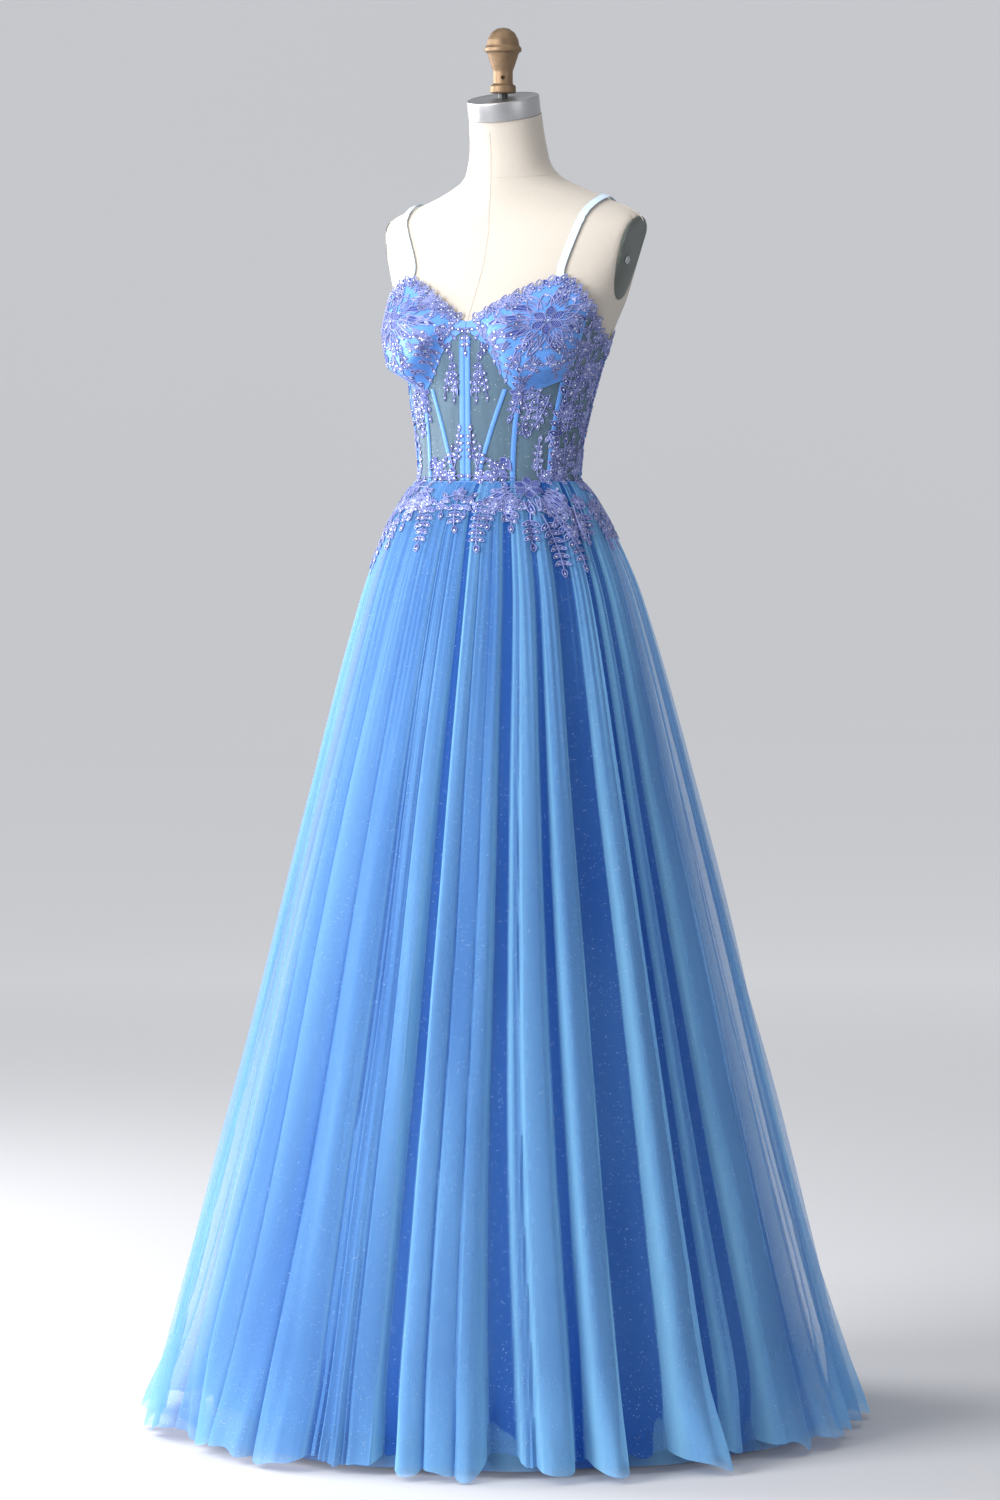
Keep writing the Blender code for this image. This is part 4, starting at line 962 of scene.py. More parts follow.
def build_finial():
    """Turned bronze finial: a collar, a waist with a cross hole, a bowl and a dome."""
    corners = ((0.0, 0.0), (0.0150, 0.0), (0.0160, 0.0012), (0.0160, 0.0085), (0.0150, 0.0098),
               (0.0122, 0.0112), (0.0122, 0.0270), (0.0150, 0.0345), (0.0198, 0.0495),
               (0.0230, 0.0512), (0.0230, 0.0562), (0.0205, 0.0580), (0.0190, 0.0660),
               (0.0145, 0.0745), (0.0075, 0.0795), (0.0, 0.0808))
    finial = turned("finial_bronze", rounded(corners, 0.0016), finish_of("bronze"),
                    Matrix.Translation((0.0, FINIAL_AXIS_Y, FINIAL_FOOT_Z)), 64, node="finial")
    hole = bmesh.new()
    hole_radius = 0.0026
    hole_z = FINIAL_FOOT_Z + 0.0190
    across = Matrix.Rotation(CAMERA_AZIMUTH, 4, "Z") @ Matrix.Rotation(math.pi / 2.0, 4, "X")
    depth = 0.014
    front = Vector((math.sin(CAMERA_AZIMUTH), -math.cos(CAMERA_AZIMUTH), 0.0)) * depth
    bmesh.ops.create_cone(hole, cap_ends=True, segments=24, radius1=hole_radius, radius2=hole_radius,
                          depth=depth,
                          matrix=Matrix.Translation(front + Vector((0.0, FINIAL_AXIS_Y, hole_z))) @ across)
    cut_through(finial, hole)


def cut_through(piece, tool_cage):
    """Cut a tool's shape out of a piece and keep the result as the piece's own mesh."""
    mesh = bpy.data.meshes.new("tool")
    tool_cage.to_mesh(mesh)
    tool_cage.free()
    tool = bpy.data.objects.new("tool", mesh)
    bpy.context.scene.collection.objects.link(tool)
    cut = piece.modifiers.new("cut", "BOOLEAN")
    cut.operation = "DIFFERENCE"
    cut.object = tool
    depsgraph = bpy.context.evaluated_depsgraph_get()
    result = bpy.data.meshes.new_from_object(piece.evaluated_get(depsgraph))
    piece.modifiers.remove(cut)
    piece.data = result
    result.shade_smooth()
    result.set_sharp_from_angle(angle=math.radians(32.0))
    bpy.data.objects.remove(tool)


def build_stand():
    """Round base, pole with its collar, and the flange under the form."""
    upright = Matrix.Identity(4)
    edge = 0.004
    base = turned("stand_base_metal", rounded(((0.0, 0.0), (BASE_RADIUS, 0.0),
                                               (BASE_RADIUS, BASE_THICKNESS - edge),
                                               (BASE_RADIUS - edge, BASE_THICKNESS),
                                               (0.0, BASE_THICKNESS)), 0.0015),
                  finish_of("black"), upright, 128, node="stand_base")
    pole_foot = BASE_THICKNESS + 0.0003
    pole_head = FORM_FOOT_Z - FLANGE_THICKNESS - 0.0006
    pole = turned("stand_pole_steel", rounded(((0.0, pole_foot), (POLE_RADIUS + 0.012, pole_foot),
                                               (POLE_RADIUS + 0.010, pole_foot + 0.030),
                                               (POLE_RADIUS, pole_foot + 0.034), (POLE_RADIUS, pole_head),
                                               (0.0, pole_head)), 0.0012), finish_of("steel"),
                  upright, 64, node="stand_pole")
    flange = turned("stand_flange_metal",
                    rounded(((0.0, pole_head + 0.0003), (FLANGE_RADIUS, pole_head + 0.0003),
                             (FLANGE_RADIUS, FORM_FOOT_Z - 0.0003), (0.0, FORM_FOOT_Z - 0.0003)), 0.001),
                    finish_of("black"), upright, 64, node="stand_flange")


# Bodice
def foot_edge(degrees):
    return WAIST_Z + SEAM_GAP


def neck_edge(degrees):
    return edge_height(TOP_EDGE, degrees)


def under_cup(degrees):
    return edge_height(CUP_BASE, degrees) - SEAM_GAP


def cup_foot(degrees):
    return edge_height(CUP_BASE, degrees) + SEAM_GAP


def panel(name, start, end, base_edge, top_edge, thickness, kind):
    """A bodice piece between two angles, from its lower edge to its upper edge."""
    inset = math.copysign(SEAM_ANGLE, end - start)
    first, last = start + inset, end - inset
    columns = max(round(abs(last - first)), 8)

    def place(across, up, lift):
        degrees = first + (last - first) * across
        low = base_edge(degrees)
        return bodice_point(degrees, low + (top_edge(degrees) - low) * up, lift)

    piece, size = cloth(name, columns, 44, place, 0.0, thickness, finish_of(kind))
    return piece, size


def build_bodice():
    made = [panel("bodice_front", -UNDERCUP_SEAM, UNDERCUP_SEAM, foot_edge, under_cup, MESH_WALL,
                  "mesh")]
    for side, word in ((1.0, "left"), (-1.0, "right")):
        seams = [side * angle for angle in (UNDERCUP_SEAM, SIDE_FRONT_SEAM, SIDE_BACK_SEAM, BACK_OPENING)]
        made.append(panel("bodice_side_front_" + word, seams[0], seams[1], foot_edge, under_cup, MESH_WALL,
                          "mesh"))
        made.append(panel("bodice_side_" + word, seams[1], seams[2], foot_edge, neck_edge, MESH_WALL,
                          "mesh"))
        made.append(panel("bodice_back_" + word, seams[2], seams[3], foot_edge, neck_edge, MESH_WALL,
                          "satin"))
        made.append(panel("cup_" + word, 0.0, seams[1], cup_foot, neck_edge, CUP_WALL, "satin"))
    channels = build_channels()
    for piece, size in made:
        declare_flat(piece, size, channels if piece.name == named("bodice_front") else ())
    build_stitching()


def declare_flat(piece, size, with_pieces=()):
    """Work out a panel's area, and the width and length of its cut, without keeping them."""
    area = sum(polygon.area for polygon in piece.data.polygons) / 2.0
    width, length = (round(1.06 * value, 3) for value in size)


def channel_place(plan, across, up, lift):
    z = plan.foot_z + (plan.head_z - plan.foot_z) * up
    degrees = plan.foot_degrees + (plan.head_degrees - plan.foot_degrees) * up
    arc = (bodice_point(degrees + 0.5, z) - bodice_point(degrees - 0.5, z)).length
    return bodice_point(degrees + (across - 0.5) * plan.width / arc, z, MESH_WALL + lift)


def channel_height(plan, across):
    """Rounded height over a channel's boning: one hump for each of its tubes."""
    part = (across * plan.tubes) % 1.0 if across < 1.0 else 1.0
    return LAID_GAP + CHANNEL_WALL * (0.25 + 0.95 * math.sin(math.pi * part) ** 0.5)


def build_channels():
    made = []
    for plan in CHANNELS:

        def place(across, up, lift, plan=plan):
            height = channel_height(plan, across) if lift > 0.0 else LAID_GAP
            return channel_place(plan, across, up, height)

        piece = cloth(plan.name, 10 * plan.tubes, 48, place, 0.0, CHANNEL_WALL, finish_of("satin"))[0]
        made.append(piece)
    return made


def build_stitching():
    """Rows of small stitches along both edges of every channel."""
    pitch = 0.0034
    strands = []
    for plan in CHANNELS:
        length = plan.head_z - plan.foot_z
        count = int(length / pitch)
        edges = [(tube + inset) / plan.tubes for tube in range(plan.tubes) for inset in (0.12, 0.88)]
        for across in edges:
            lift = channel_height(plan, across) + 0.00008
            for index in range(count):
                ends = ((index + 0.18) / count, (index + 0.82) / count)
                strands.append(([channel_place(plan, across, up, lift) for up in ends], 0.00016, False))
    cage = tubes("channel_stitching", strands, 0)
    stitches = finish_piece("channel_stitching", cage, [finish_of("thread")])


def strap_end(degrees, aside, lift):
    """Point on the end of a strap, cut along the top edge of the bodice."""
    across = bodice_point(degrees + 0.5, neck_edge(degrees)) - bodice_point(degrees - 0.5, neck_edge(degrees))
    turn = aside / math.copysign(across.length, across.x)
    return bodice_point(degrees + turn, neck_edge(degrees + turn) + STRAP_GAP, lift)


def strap_route(start, finish, top_x):
    """Centre line of a strap on the form, with the form's normals."""
    skin = whole_form()[1]
    top = Vector((top_x, STRAP_TOP[0], STRAP_TOP[1]))
    knots = (start, start + Vector((0.0, 0.004, 0.020)),
             start.lerp(top, 0.55) + Vector((0.0, -0.010, 0.010)), top,
             finish.lerp(top, 0.60) + Vector((0.0, 0.030, 0.010)),
             finish + Vector((0.0, 0.004, 0.030)), finish)
    route = []
    for index in range(STRAP_ROWS + 1):
        share = index / STRAP_ROWS * (len(knots) - 1)
        before = min(int(share), len(knots) - 2)
        a, b, c, d = (knots[min(max(i, 0), len(knots) - 1)] for i in range(before - 1, before + 3))
        t = share - before
        point = 0.5 * (2 * b + (c - a) * t + (2 * a - 5 * b + 4 * c - d) * t * t
                       + (3 * b - a - 3 * c + d) * t ** 3)
        spot, normal = skin.find_nearest(point)[:2]
        lift = STRAP_CLEAR * smooth(min(index, STRAP_ROWS - index) / 4.0) + 0.0004
        route.append((spot + normal * lift, normal))
    return route


def build_straps():
    for side, word, top_x in ((1.0, "left", STRAP_TOP_LEFT_X), (-1.0, "right", STRAP_TOP_RIGHT_X)):
        start = strap_end(side * STRAP_ANGLE, 0.0, 0.0)
        finish = strap_end(side * STRAP_BACK_ANGLE, 0.0, 0.0)
        route = strap_route(start, finish, top_x)

        def place(across, up, lift, side=side, route=route):
            row = round(up * STRAP_ROWS)
            aside = (across - 0.5) * STRAP_WIDTH
            if row == 0:
                return strap_end(side * STRAP_ANGLE, aside, lift)
            if row == STRAP_ROWS:
                return strap_end(side * STRAP_BACK_ANGLE, aside, lift)
            nearby = range(max(row - 4, 0), min(row + 4, STRAP_ROWS) + 1)
            normal = sum((route[index][1] for index in nearby), Vector())
            along = route[row + 1][0] - route[row - 1][0]
            sideways = along.cross(normal).normalized()
            return route[row][0] + sideways * aside + sideways.cross(along).normalized() * lift

        strap = cloth("strap_" + word, 6, STRAP_ROWS, place, 0.0, STRAP_WALL, finish_of("strap_satin"))[0]


# Skirt
def skirt_height(up, hem, head):
    """Height of a row of the skirt, with more rows near the waist and the hem."""
    return hem + (head - hem) * (1.0 - (1.0 - up) ** 1.25)


def around_noise(degrees, z, turns, rise, seed=0.0):
    """Soft noise round the skirt, from -1 to 1, that closes on itself."""
    angle = math.radians(degrees)
    return noise(Vector((turns * math.cos(angle) + seed, turns * math.sin(angle) - seed, z * rise)))


@functools.lru_cache(maxsize=None)
def crease_floor(degrees):
    """How shallow the valleys are near an angle: folds that lie close together part only a little."""
    window = 2.75
    steps = 11
    near = [fold_height(degrees + window * (2.0 * index / (steps - 1) - 1.0)) > 0.0 for index in range(steps)]
    return 0.60 * smooth((sum(near) / steps - 0.45) / 0.5)


@functools.lru_cache(maxsize=None)
def tulle_relief(degrees, z):
    """How high the outer tulle stands at a place, 0 in a valley and 1 on a crest."""
    stray = settings().skirt.wander * smooth((1.10 - z) / 0.8)
    place = degrees + stray * around_noise(degrees, z, 2.6, 1.1)
    floor = crease_floor(round(place * 2.0) / 2.0)
    height = floor + (1.0 - floor) * fold_height(place) ** 0.90
    height *= min(0.80 + 0.45 * around_noise(place, z, 6.0, 2.6, 12.0), 1.0)
    fine = smooth((z - 0.70) / 0.42)
    small = math.sin(math.radians(degrees * 150.0) + 9.0 * around_noise(degrees, z, 3.0, 0.8, 4.0))
    ripple = around_noise(degrees, z, 8.0, 0.5, 8.0)
    dent = around_noise(degrees, z, 20.0, 0.4, 3.0)
    relief = 0.92 * height + 0.05 * (1.0 + small) * fine + (0.03 + 0.12 * fine) * ripple + 0.03 * dent
    return min(max(relief, 0.0), 1.0)


def tulle_point(across, up, lift):
    sizes = settings().skirt
    degrees = across * 360.0
    z = skirt_height(up, HEM_Z, WAIST_Z - SEAM_GAP)
    height = tulle_relief(degrees, z)
    gather_share = smooth((z - 0.98) / 0.14) * (0.35 + 0.65 * smooth((WAIST_Z - z) / 0.025))
    pinch = math.sin(math.radians(degrees * sizes.gathers) + 5.0 * around_noise(degrees, 0.0, 4.0, 0.0, 2.0))
    offset = -ring_value("fold", z) * (1.0 - height) - 0.0011 * gather_share * (0.5 - 0.5 * pinch)
    near_floor = smooth((0.17 - z) / 0.17)
    spread = around_noise(degrees, 0.0, 5.0, 0.0, 6.0) + 0.5 * around_noise(degrees, 0.0, 16.0, 0.0, 9.0)
    flare = near_floor ** 2 * (0.022 * height + 0.028 * spread - 0.010)
    hem_rise = (0.018 * (1.0 - height) + 0.012 * around_noise(degrees, 0.0, 11.0, 0.0, 3.0)) * near_floor ** 3
    return skirt_point(degrees, max(z + hem_rise, 0.0015), offset + flare + lift)


@functools.lru_cache(maxsize=None)
def tulle_rim(degrees, z):
    """How steeply the tulle rises at a place, from 0 to 1: the sides of a fold show as lines, denser and with
    a painted highlight.
    """
    step = 0.5
    slope = abs(tulle_relief(degrees + step, z) - tulle_relief(degrees - step, z)) / (2.0 * step)
    return smooth(slope / 0.45)


def tulle_fold(across, up):
    z = skirt_height(up, HEM_Z, WAIST_Z - SEAM_GAP)
    return tulle_relief(across * 360.0, z), tulle_rim(across * 360.0, z)


@functools.lru_cache(maxsize=None)
def inner_wave(degrees, z):
    """Folds of the inner tulle: its twelve main waves with smaller ones between them."""
    stray = 1.2 * around_noise(degrees, z, 1.5, 0.8)
    main = 0.5 + 0.5 * math.cos(math.radians(degrees * INNER_FOLDS) + stray)
    small = 0.5 + 0.5 * math.cos(math.radians(degrees * 44.0) + 4.0 * around_noise(degrees, z, 3.0, 0.7, 5.0))
    share = 0.04 + 0.36 * smooth((z - 0.75) / 0.35)
    return (1.0 - share) * main + share * small


def inner_point(across, up, lift):
    degrees = across * 360.0
    z = skirt_height(up, HEM_Z + 0.004, WAIST_Z - SEAM_GAP)
    inset = ring_value("inner_inset", z) + ring_value("inner_fold", z) * (1.0 - inner_wave(degrees, z))
    return skirt_point(degrees, z, lift - inset)


def inner_fold(across, up):
    return inner_wave(across * 360.0, skirt_height(up, HEM_Z + 0.004, WAIST_Z - SEAM_GAP)), 0.0


@functools.lru_cache(maxsize=None)
def lining_wave(degrees, z):
    wave = math.cos(math.radians(degrees * 17.0) + 3.0 * around_noise(degrees, z, 1.6, 0.6, 7.0))
    return 0.5 + 0.5 * wave


def lining_point(across, up, lift):
    degrees = across * 360.0
    z = skirt_height(up, LINING_HEM_Z, WAIST_Z - SEAM_GAP)
    depth = 0.010 * smooth((1.12 - z) / 0.6)
    inset = ring_value("lining_inset", z) + depth * (1.0 - lining_wave(degrees, z))
    return skirt_point(degrees, z, lift - inset)


def lining_fold(across, up):
    return lining_wave(across * 360.0, skirt_height(up, LINING_HEM_Z, WAIST_Z - SEAM_GAP)), 0.0


# Cut of each skirt cloth, and the share of that rectangle that the cloth takes
Cut = namedtuple("Cut", "width length share")
OUTER_CUT = Cut(3.90, 1.24, 0.62)
INNER_CUT = Cut(3.20, 1.22, 0.62)
LINING_CUT = Cut(2.60, 1.19, 0.64)
INNER_COLUMNS = 540
LINING_COLUMNS = 300
UNDER_ROWS = 40


def build_waist_seam():
    """The rolled seam that joins the bodice to the skirt."""
    ring = [skirt_point(index * 360.0 / ROLL_STEPS, WAIST_Z, ROLL_TWIST * (index % 2) - ROLL_SUNK)
            for index in range(ROLL_STEPS)]
    cage = tubes("waist_seam", [(ring, ROLL_RADIUS, True)], 1)
    seam = finish_piece("waist_seam", cage, [finish_of("satin")])


def build_skirt():
    sizes = settings().skirt
    build_waist_seam()
    outer = cloth("skirt_tulle_outer", sizes.columns, sizes.rows, tulle_point, 0.0, 0.0,
                  finish_of("tulle"), closed=True, fold=tulle_fold)[0]
    inner = cloth("skirt_tulle_inner", INNER_COLUMNS, UNDER_ROWS, inner_point, 0.0, 0.0,
                  finish_of("tulle_inner"), closed=True, fold=inner_fold)[0]
    lining = cloth("skirt_lining", LINING_COLUMNS, UNDER_ROWS, lining_point, -TULLE_WALL, 0.0,
                   finish_of("lining"), closed=True, fold=lining_fold)[0]
    for piece, cut in ((outer, OUTER_CUT), (inner, INNER_CUT), (lining, LINING_CUT)):
        round(cut.share * cut.width * cut.length, 3)


# Zip
def build_zip():
    """Concealed zip: two cloth lips that meet, the slider with its ears, and the pull tab."""
    foot = WAIST_Z + SEAM_GAP
    head = edge_height(TOP_EDGE, 180.0)
    groove = 0.0005

    def place(across, up, lift):
        aside = (across - 0.5) * 2.0
        dip = groove * (math.exp(-(aside / 0.12) ** 2) + 0.5 * math.exp(-((abs(aside) - 0.62) / 0.10) ** 2))
        lift = lift - dip if lift > 0.0 else lift
        return form_point(180.0 + aside * ZIP_HALF_ANGLE, foot + (head - foot) * up, lift + CLEAR)

    tape = cloth("zip_chain", 28, 44, place, 0.0, MESH_WALL, finish_of("zip_tape"))[0]
    seat, pin = zip_seat()
    cage = bmesh.new()
    rounded_box(cage, (SLIDER_WIDTH, SLIDER_THICKNESS, SLIDER_HEIGHT),
                seat @ Matrix.Translation((0.0, SLIDER_THICKNESS / 2.0, 0.0)), 0.0009)
    for side in (1.0, -1.0):
        ear_x = side * (KNUCKLE_HALF + EAR_PLAY + EAR_THICKNESS / 2.0)
        depth = PIN_OUT + EAR_RADIUS - EAR_SUNK
        rounded_box(cage, (EAR_THICKNESS, depth, 2.0 * EAR_RADIUS),
                    seat @ Matrix.Translation((ear_x, EAR_SUNK + depth / 2.0, 0.0)), 0.00045)
    bmesh.ops.create_cone(cage, cap_ends=True, segments=24, radius1=PIN_RADIUS, radius2=PIN_RADIUS,
                          depth=2.0 * (KNUCKLE_HALF + EAR_PLAY) + 1.6 * EAR_THICKNESS,
                          matrix=Matrix.Translation(pin) @ Matrix.Rotation(math.pi / 2.0, 4, "Y"))
    slider = finish_piece("zip_slider_body", cage, [finish_of("zip_metal")])
    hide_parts("zip_slider")
    build_pull(pin)


def zip_seat():
    """Where the slider sits on the zip, leaning with the back, and its pin."""
    half = SLIDER_HEIGHT / 2.0
    low = form_point(180.0, PIN_Z - half, CLEAR + MESH_WALL)
    high = form_point(180.0, PIN_Z + half, CLEAR + MESH_WALL)
    lean = Matrix.Rotation(math.atan2(low.y - high.y, SLIDER_HEIGHT), 4, "X")
    seat = Matrix.Translation((0.0, (low.y + high.y) / 2.0 + SLIDER_GAP, PIN_Z)) @ lean
    return seat, seat @ Vector((0.0, PIN_OUT, 0.0))


def rounded_box(cage, size, place, radius):
    made = bmesh.ops.create_cube(cage, size=1.0)["verts"]
    bmesh.ops.scale(cage, verts=made, vec=size)
    edges = list({edge for vertex in made for edge in vertex.link_edges})
    grown = bmesh.ops.bevel(cage, geom=edges, offset=radius, offset_type="OFFSET", segments=3, profile=0.5,
                            affect="EDGES", material=-1)
    corners = list({vertex for face in grown["faces"] for vertex in face.verts})
    bmesh.ops.transform(cage, verts=corners, matrix=place)


def build_pull(pin):
    """A pull tab that hangs from a round eye on the pin."""
    cage = bmesh.new()
    hole = PIN_RADIUS + EYE_PLAY
    edge = 0.0003
    profile = ((hole, -KNUCKLE_HALF + edge), (hole + edge, -KNUCKLE_HALF),
               (KNUCKLE_RADIUS - edge, -KNUCKLE_HALF), (KNUCKLE_RADIUS, -KNUCKLE_HALF + edge),
               (KNUCKLE_RADIUS, KNUCKLE_HALF - edge), (KNUCKLE_RADIUS - edge, KNUCKLE_HALF),
               (hole + edge, KNUCKLE_HALF), (hole, KNUCKLE_HALF - edge))
    ring = [cage.verts.new((along, 0.0, radius)) for radius, along in profile]
    edges = [cage.edges.new((a, b)) for a, b in zip(ring, ring[1:] + ring[:1])]
    bmesh.ops.spin(cage, geom=ring + edges, cent=(0, 0, 0), axis=(1, 0, 0), angle=math.tau,
                   steps=32, use_merge=True)
    bmesh.ops.remove_doubles(cage, verts=cage.verts, dist=0.00001)
    bmesh.ops.translate(cage, verts=cage.verts, vec=pin)
    middle = pin - Vector((0.0, 0.0, 0.7 * KNUCKLE_RADIUS + PULL_LENGTH / 2.0))
    rounded_box(cage, (PULL_WIDTH, PULL_THICKNESS, PULL_LENGTH), Matrix.Translation(middle), 0.0004)
    bmesh.ops.recalc_face_normals(cage, faces=cage.faces)
    pull = finish_piece("zip_pull_tab", cage, [finish_of("zip_metal")], body=PULL_BODY)
    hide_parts("zip_pull")


# Lace
def heading_of(degrees):
    """A direction in the lace's plane: 0 runs towards the wearer's left and 90 straight up."""
    return cmath.rect(1.0, math.radians(degrees))


@functools.lru_cache(maxsize=None)
def bodice_ground(degrees, z):
    """How far the top of the bodice cloth lies out at a place, with the channels' height."""
    on_cup = abs(degrees) < SIDE_FRONT_SEAM and z > edge_height(CUP_BASE, degrees)
    height = CUP_WALL if on_cup else MESH_WALL
    for plan in CHANNELS:
        if plan.foot_z < z < plan.head_z:
            share = (z - plan.foot_z) / (plan.head_z - plan.foot_z)
            middle = plan.foot_degrees + (plan.head_degrees - plan.foot_degrees) * share
            if abs(degrees - middle) < 250.0 * plan.width + 1.0:
                height = max(height, MESH_WALL + LAID_GAP + 1.2 * CHANNEL_WALL)
    return height


@functools.lru_cache(maxsize=None)
def skirt_ground(degrees, z):
    """How far inside the skirt's smooth form the tulle's surface lies near a place."""
    height = max(tulle_relief(degrees + aside, z) for aside in (-1.5, -0.75, 0.0, 0.75, 1.5))
    return -ring_value("fold", z) * (1.0 - height)


class Lace:
    """A piece of lace: drawn in a plane, in metres round its own middle, and laid on the dress."""

    def __init__(self, name, degrees, z, side=1.0, seed=0):
        self.name = name
        self.side = side
        self.z = z
        self.degrees = degrees
        surface = skirt_point if z < WAIST_Z else bodice_point
        small = 0.5
        across = surface(degrees + small, z) - surface(degrees - small, z)
        rise = surface(degrees, z + 0.002) - surface(degrees, z - 0.002)
        self.arc = across.length / (2.0 * small)
        self.rise = rise.length / 0.004
        self.cords = []
        self.fills = []
        self.sequins = []
        self.random = random.Random(seed)

    def at(self, degrees, z):
        """Place in the lace's plane of a point given by its angle and height."""
        return complex((degrees - self.degrees) * self.arc, (z - self.z) * self.rise)

    def laid(self, place, lift):
        """Point on the dress for a place in the lace's plane, given as a complex number."""
        degrees = self.degrees + place.real / self.arc
        z = self.z + place.imag / self.rise
        near = round(degrees * 2.0) / 2.0
        level = round(z, 3)
        above = smooth((z - WAIST_Z + 0.003) / 0.008)
        points = []
        if above < 1.0:
            points.append(skirt_point(self.side * degrees, z, skirt_ground(self.side * near, level) + lift))
        if above > 0.0:
            points.append(bodice_point(self.side * degrees, z, bodice_ground(near, level) + lift))
        return points[0].lerp(points[-1], above) if len(points) > 1 else points[0]

    def cord(self, places, radius=None, closed=False, lift=0.0):
        radius = radius or settings().lace.cord
        self.cords.append(([self.laid(place, radius + lift) for place in places], radius, closed))

    def sequin(self, place, size=1.0):
        self.sequins.append((place, size * settings().lace.sequin))

    def blade(self, root, degrees, length, width, sway=0.0, widest=0.45, hatch=0, sequin=0.5, steps=7,
              ground=True):
        """A pointed leaf or petal: cord round it, a dark ground, a midrib or hatching, a sequin.

        Without its ground it has a second cord inside, and the satin shows between the two.
        """
        along = heading_of(degrees)
        power = math.log(0.5) / math.log(widest)
        spine = []
        sides = ([], [])
        for index in range(steps + 1):
            t = index / steps
            place = root + along * (length * t + 1j * sway * length * t * t)
            half = 0.5 * width * math.sin(math.pi * t ** power) ** 0.85 if 0 < index < steps else 0.0
            turned_by = cmath.rect(1.0, 2.0 * sway * t)
            spine.append(place)
            sides[0].append(place + 1j * along * turned_by * half)
            sides[1].append(place - 1j * along * turned_by * half)
        outline = sides[0] + sides[1][-2:0:-1]
        self.cord(outline, closed=True)
        if ground:
            self.fills.append((sides[0], spine, sides[1]))
        else:
            inner = [[place * 0.62 + middle * 0.38 for place, middle in zip(side, spine)] for side in sides]
            self.cord(inner[0][1:] + inner[1][-2:0:-1], radius=INNER_CORD * settings().lace.cord)
        if hatch:
            for index in range(hatch):
                at = steps * (0.16 + 0.66 * (index + 0.5) / hatch)
                low = int(at)
                ends = [side[low] + (side[low + 1] - side[low]) * (at - low) for side in sides]
                self.cord([ends[0] * 0.92 + ends[1] * 0.08, ends[1] * 0.92 + ends[0] * 0.08],
                          radius=VEIN_CORD * settings().lace.cord)
        else:
            self.cord(spine[:steps - 1], radius=VEIN_CORD * settings().lace.cord, lift=GROUND_LIFT)
        if sequin:
            self.sequin(spine[round(sequin * steps)])
        return spine[-1]

    def stem(self, root, degrees, length, bend, steps=6):
        """A cord that bends as it grows; returns where it ends and its heading there."""
        place = root
        places = [place]
        for _ in range(steps):
            degrees += bend / steps
            place = place + heading_of(degrees) * (length / steps)
            places.append(place)
        self.cord(places, radius=1.15 * settings().lace.cord)
        return place, degrees

    def spray(self, root, degrees, bare, bend, leaf, pairs, spread=46.0):
        """A stem with pairs of leaves, each pair smaller, and a leaf at its tip."""
        place, degrees = self.stem(root, degrees, bare, 0.0, steps=3)
        for index in range(pairs):
            size = leaf * (1.0 - 0.25 * index / pairs)
            for side in (1.0, -1.0):
                self.blade(place, degrees + side * spread, size, 0.5 * size, sway=0.15 * side)
            place, degrees = self.stem(place, degrees, 0.62 * leaf + 0.0032, bend / max(pairs, 1), steps=3)
        return self.blade(place, degrees, leaf, 0.45 * leaf)

    def flower(self, centre, petals, petal, width, turn=90.0, sway=0.15, hatch=5):
        """A flower of pointed petals round a ring of beads."""
        hub = 0.32 * width
        for index in range(petals):
            degrees = turn + index * 360.0 / petals
            self.blade(centre + heading_of(degrees) * hub, degrees, petal - hub, width, sway=sway,
                       widest=0.55, hatch=hatch, sequin=0.0)
        ring = [centre + heading_of(step * 45.0) * hub for step in range(8)]
        self.cord(ring, closed=True, radius=1.2 * settings().lace.cord)
        self.sequin(centre, 1.5)
        for place in ring[::2]:
            self.sequin(place, 0.7)

    def scroll(self, root, degrees, length, bend, ring):
        """A stem that curls into a small ring with a sequin in it."""
        place, degrees = self.stem(root, degrees, length, bend, steps=7)
        centre = place + heading_of(degrees + math.copysign(90.0, bend)) * ring
        self.cord([centre + heading_of(step * 60.0) * ring for step in range(6)], closed=True)
        self.sequin(centre)

    def loop(self, root, degrees, length, width, sway=0.0):
        """An open loop of cord with a row of sequins in it, like half a bow."""
        self.blade(root, degrees, length, width, sway=sway, widest=0.62, hatch=0, sequin=0.0)
        self.blade(root, degrees, 0.72 * length, 0.45 * width, sway=sway, widest=0.62, sequin=0.7)
        for share, aside in ((0.55, 0.30), (0.70, -0.30)):
            spot = root + heading_of(degrees) * length * (share + 1j * sway * share * share)
            self.sequin(spot + 1j * heading_of(degrees) * aside * width, 0.8)

    def swirl(self, root, degrees, length, width, sway, ground=False):
        """A long curved petal with a second cord inside and a scroll along each of its sides."""
        tip = self.blade(root, degrees, length, width, sway=sway, widest=0.62, sequin=0.62, steps=9,
                         ground=ground)
        side = math.copysign(1.0, sway)
        outer = root + heading_of(degrees) * (0.10 * length - 1j * side * 0.62 * width)
        self.scroll(outer, degrees + side * 2.0, 0.86 * length, math.degrees(2.2 * sway), 0.0022)
        inner = root + heading_of(degrees) * (0.05 * length + 1j * side * 0.58 * width)
        self.scroll(inner, degrees - side * 8.0, 0.66 * length, math.degrees(-1.6 * sway), 0.0019)
        self.sequin(tip, 0.9)

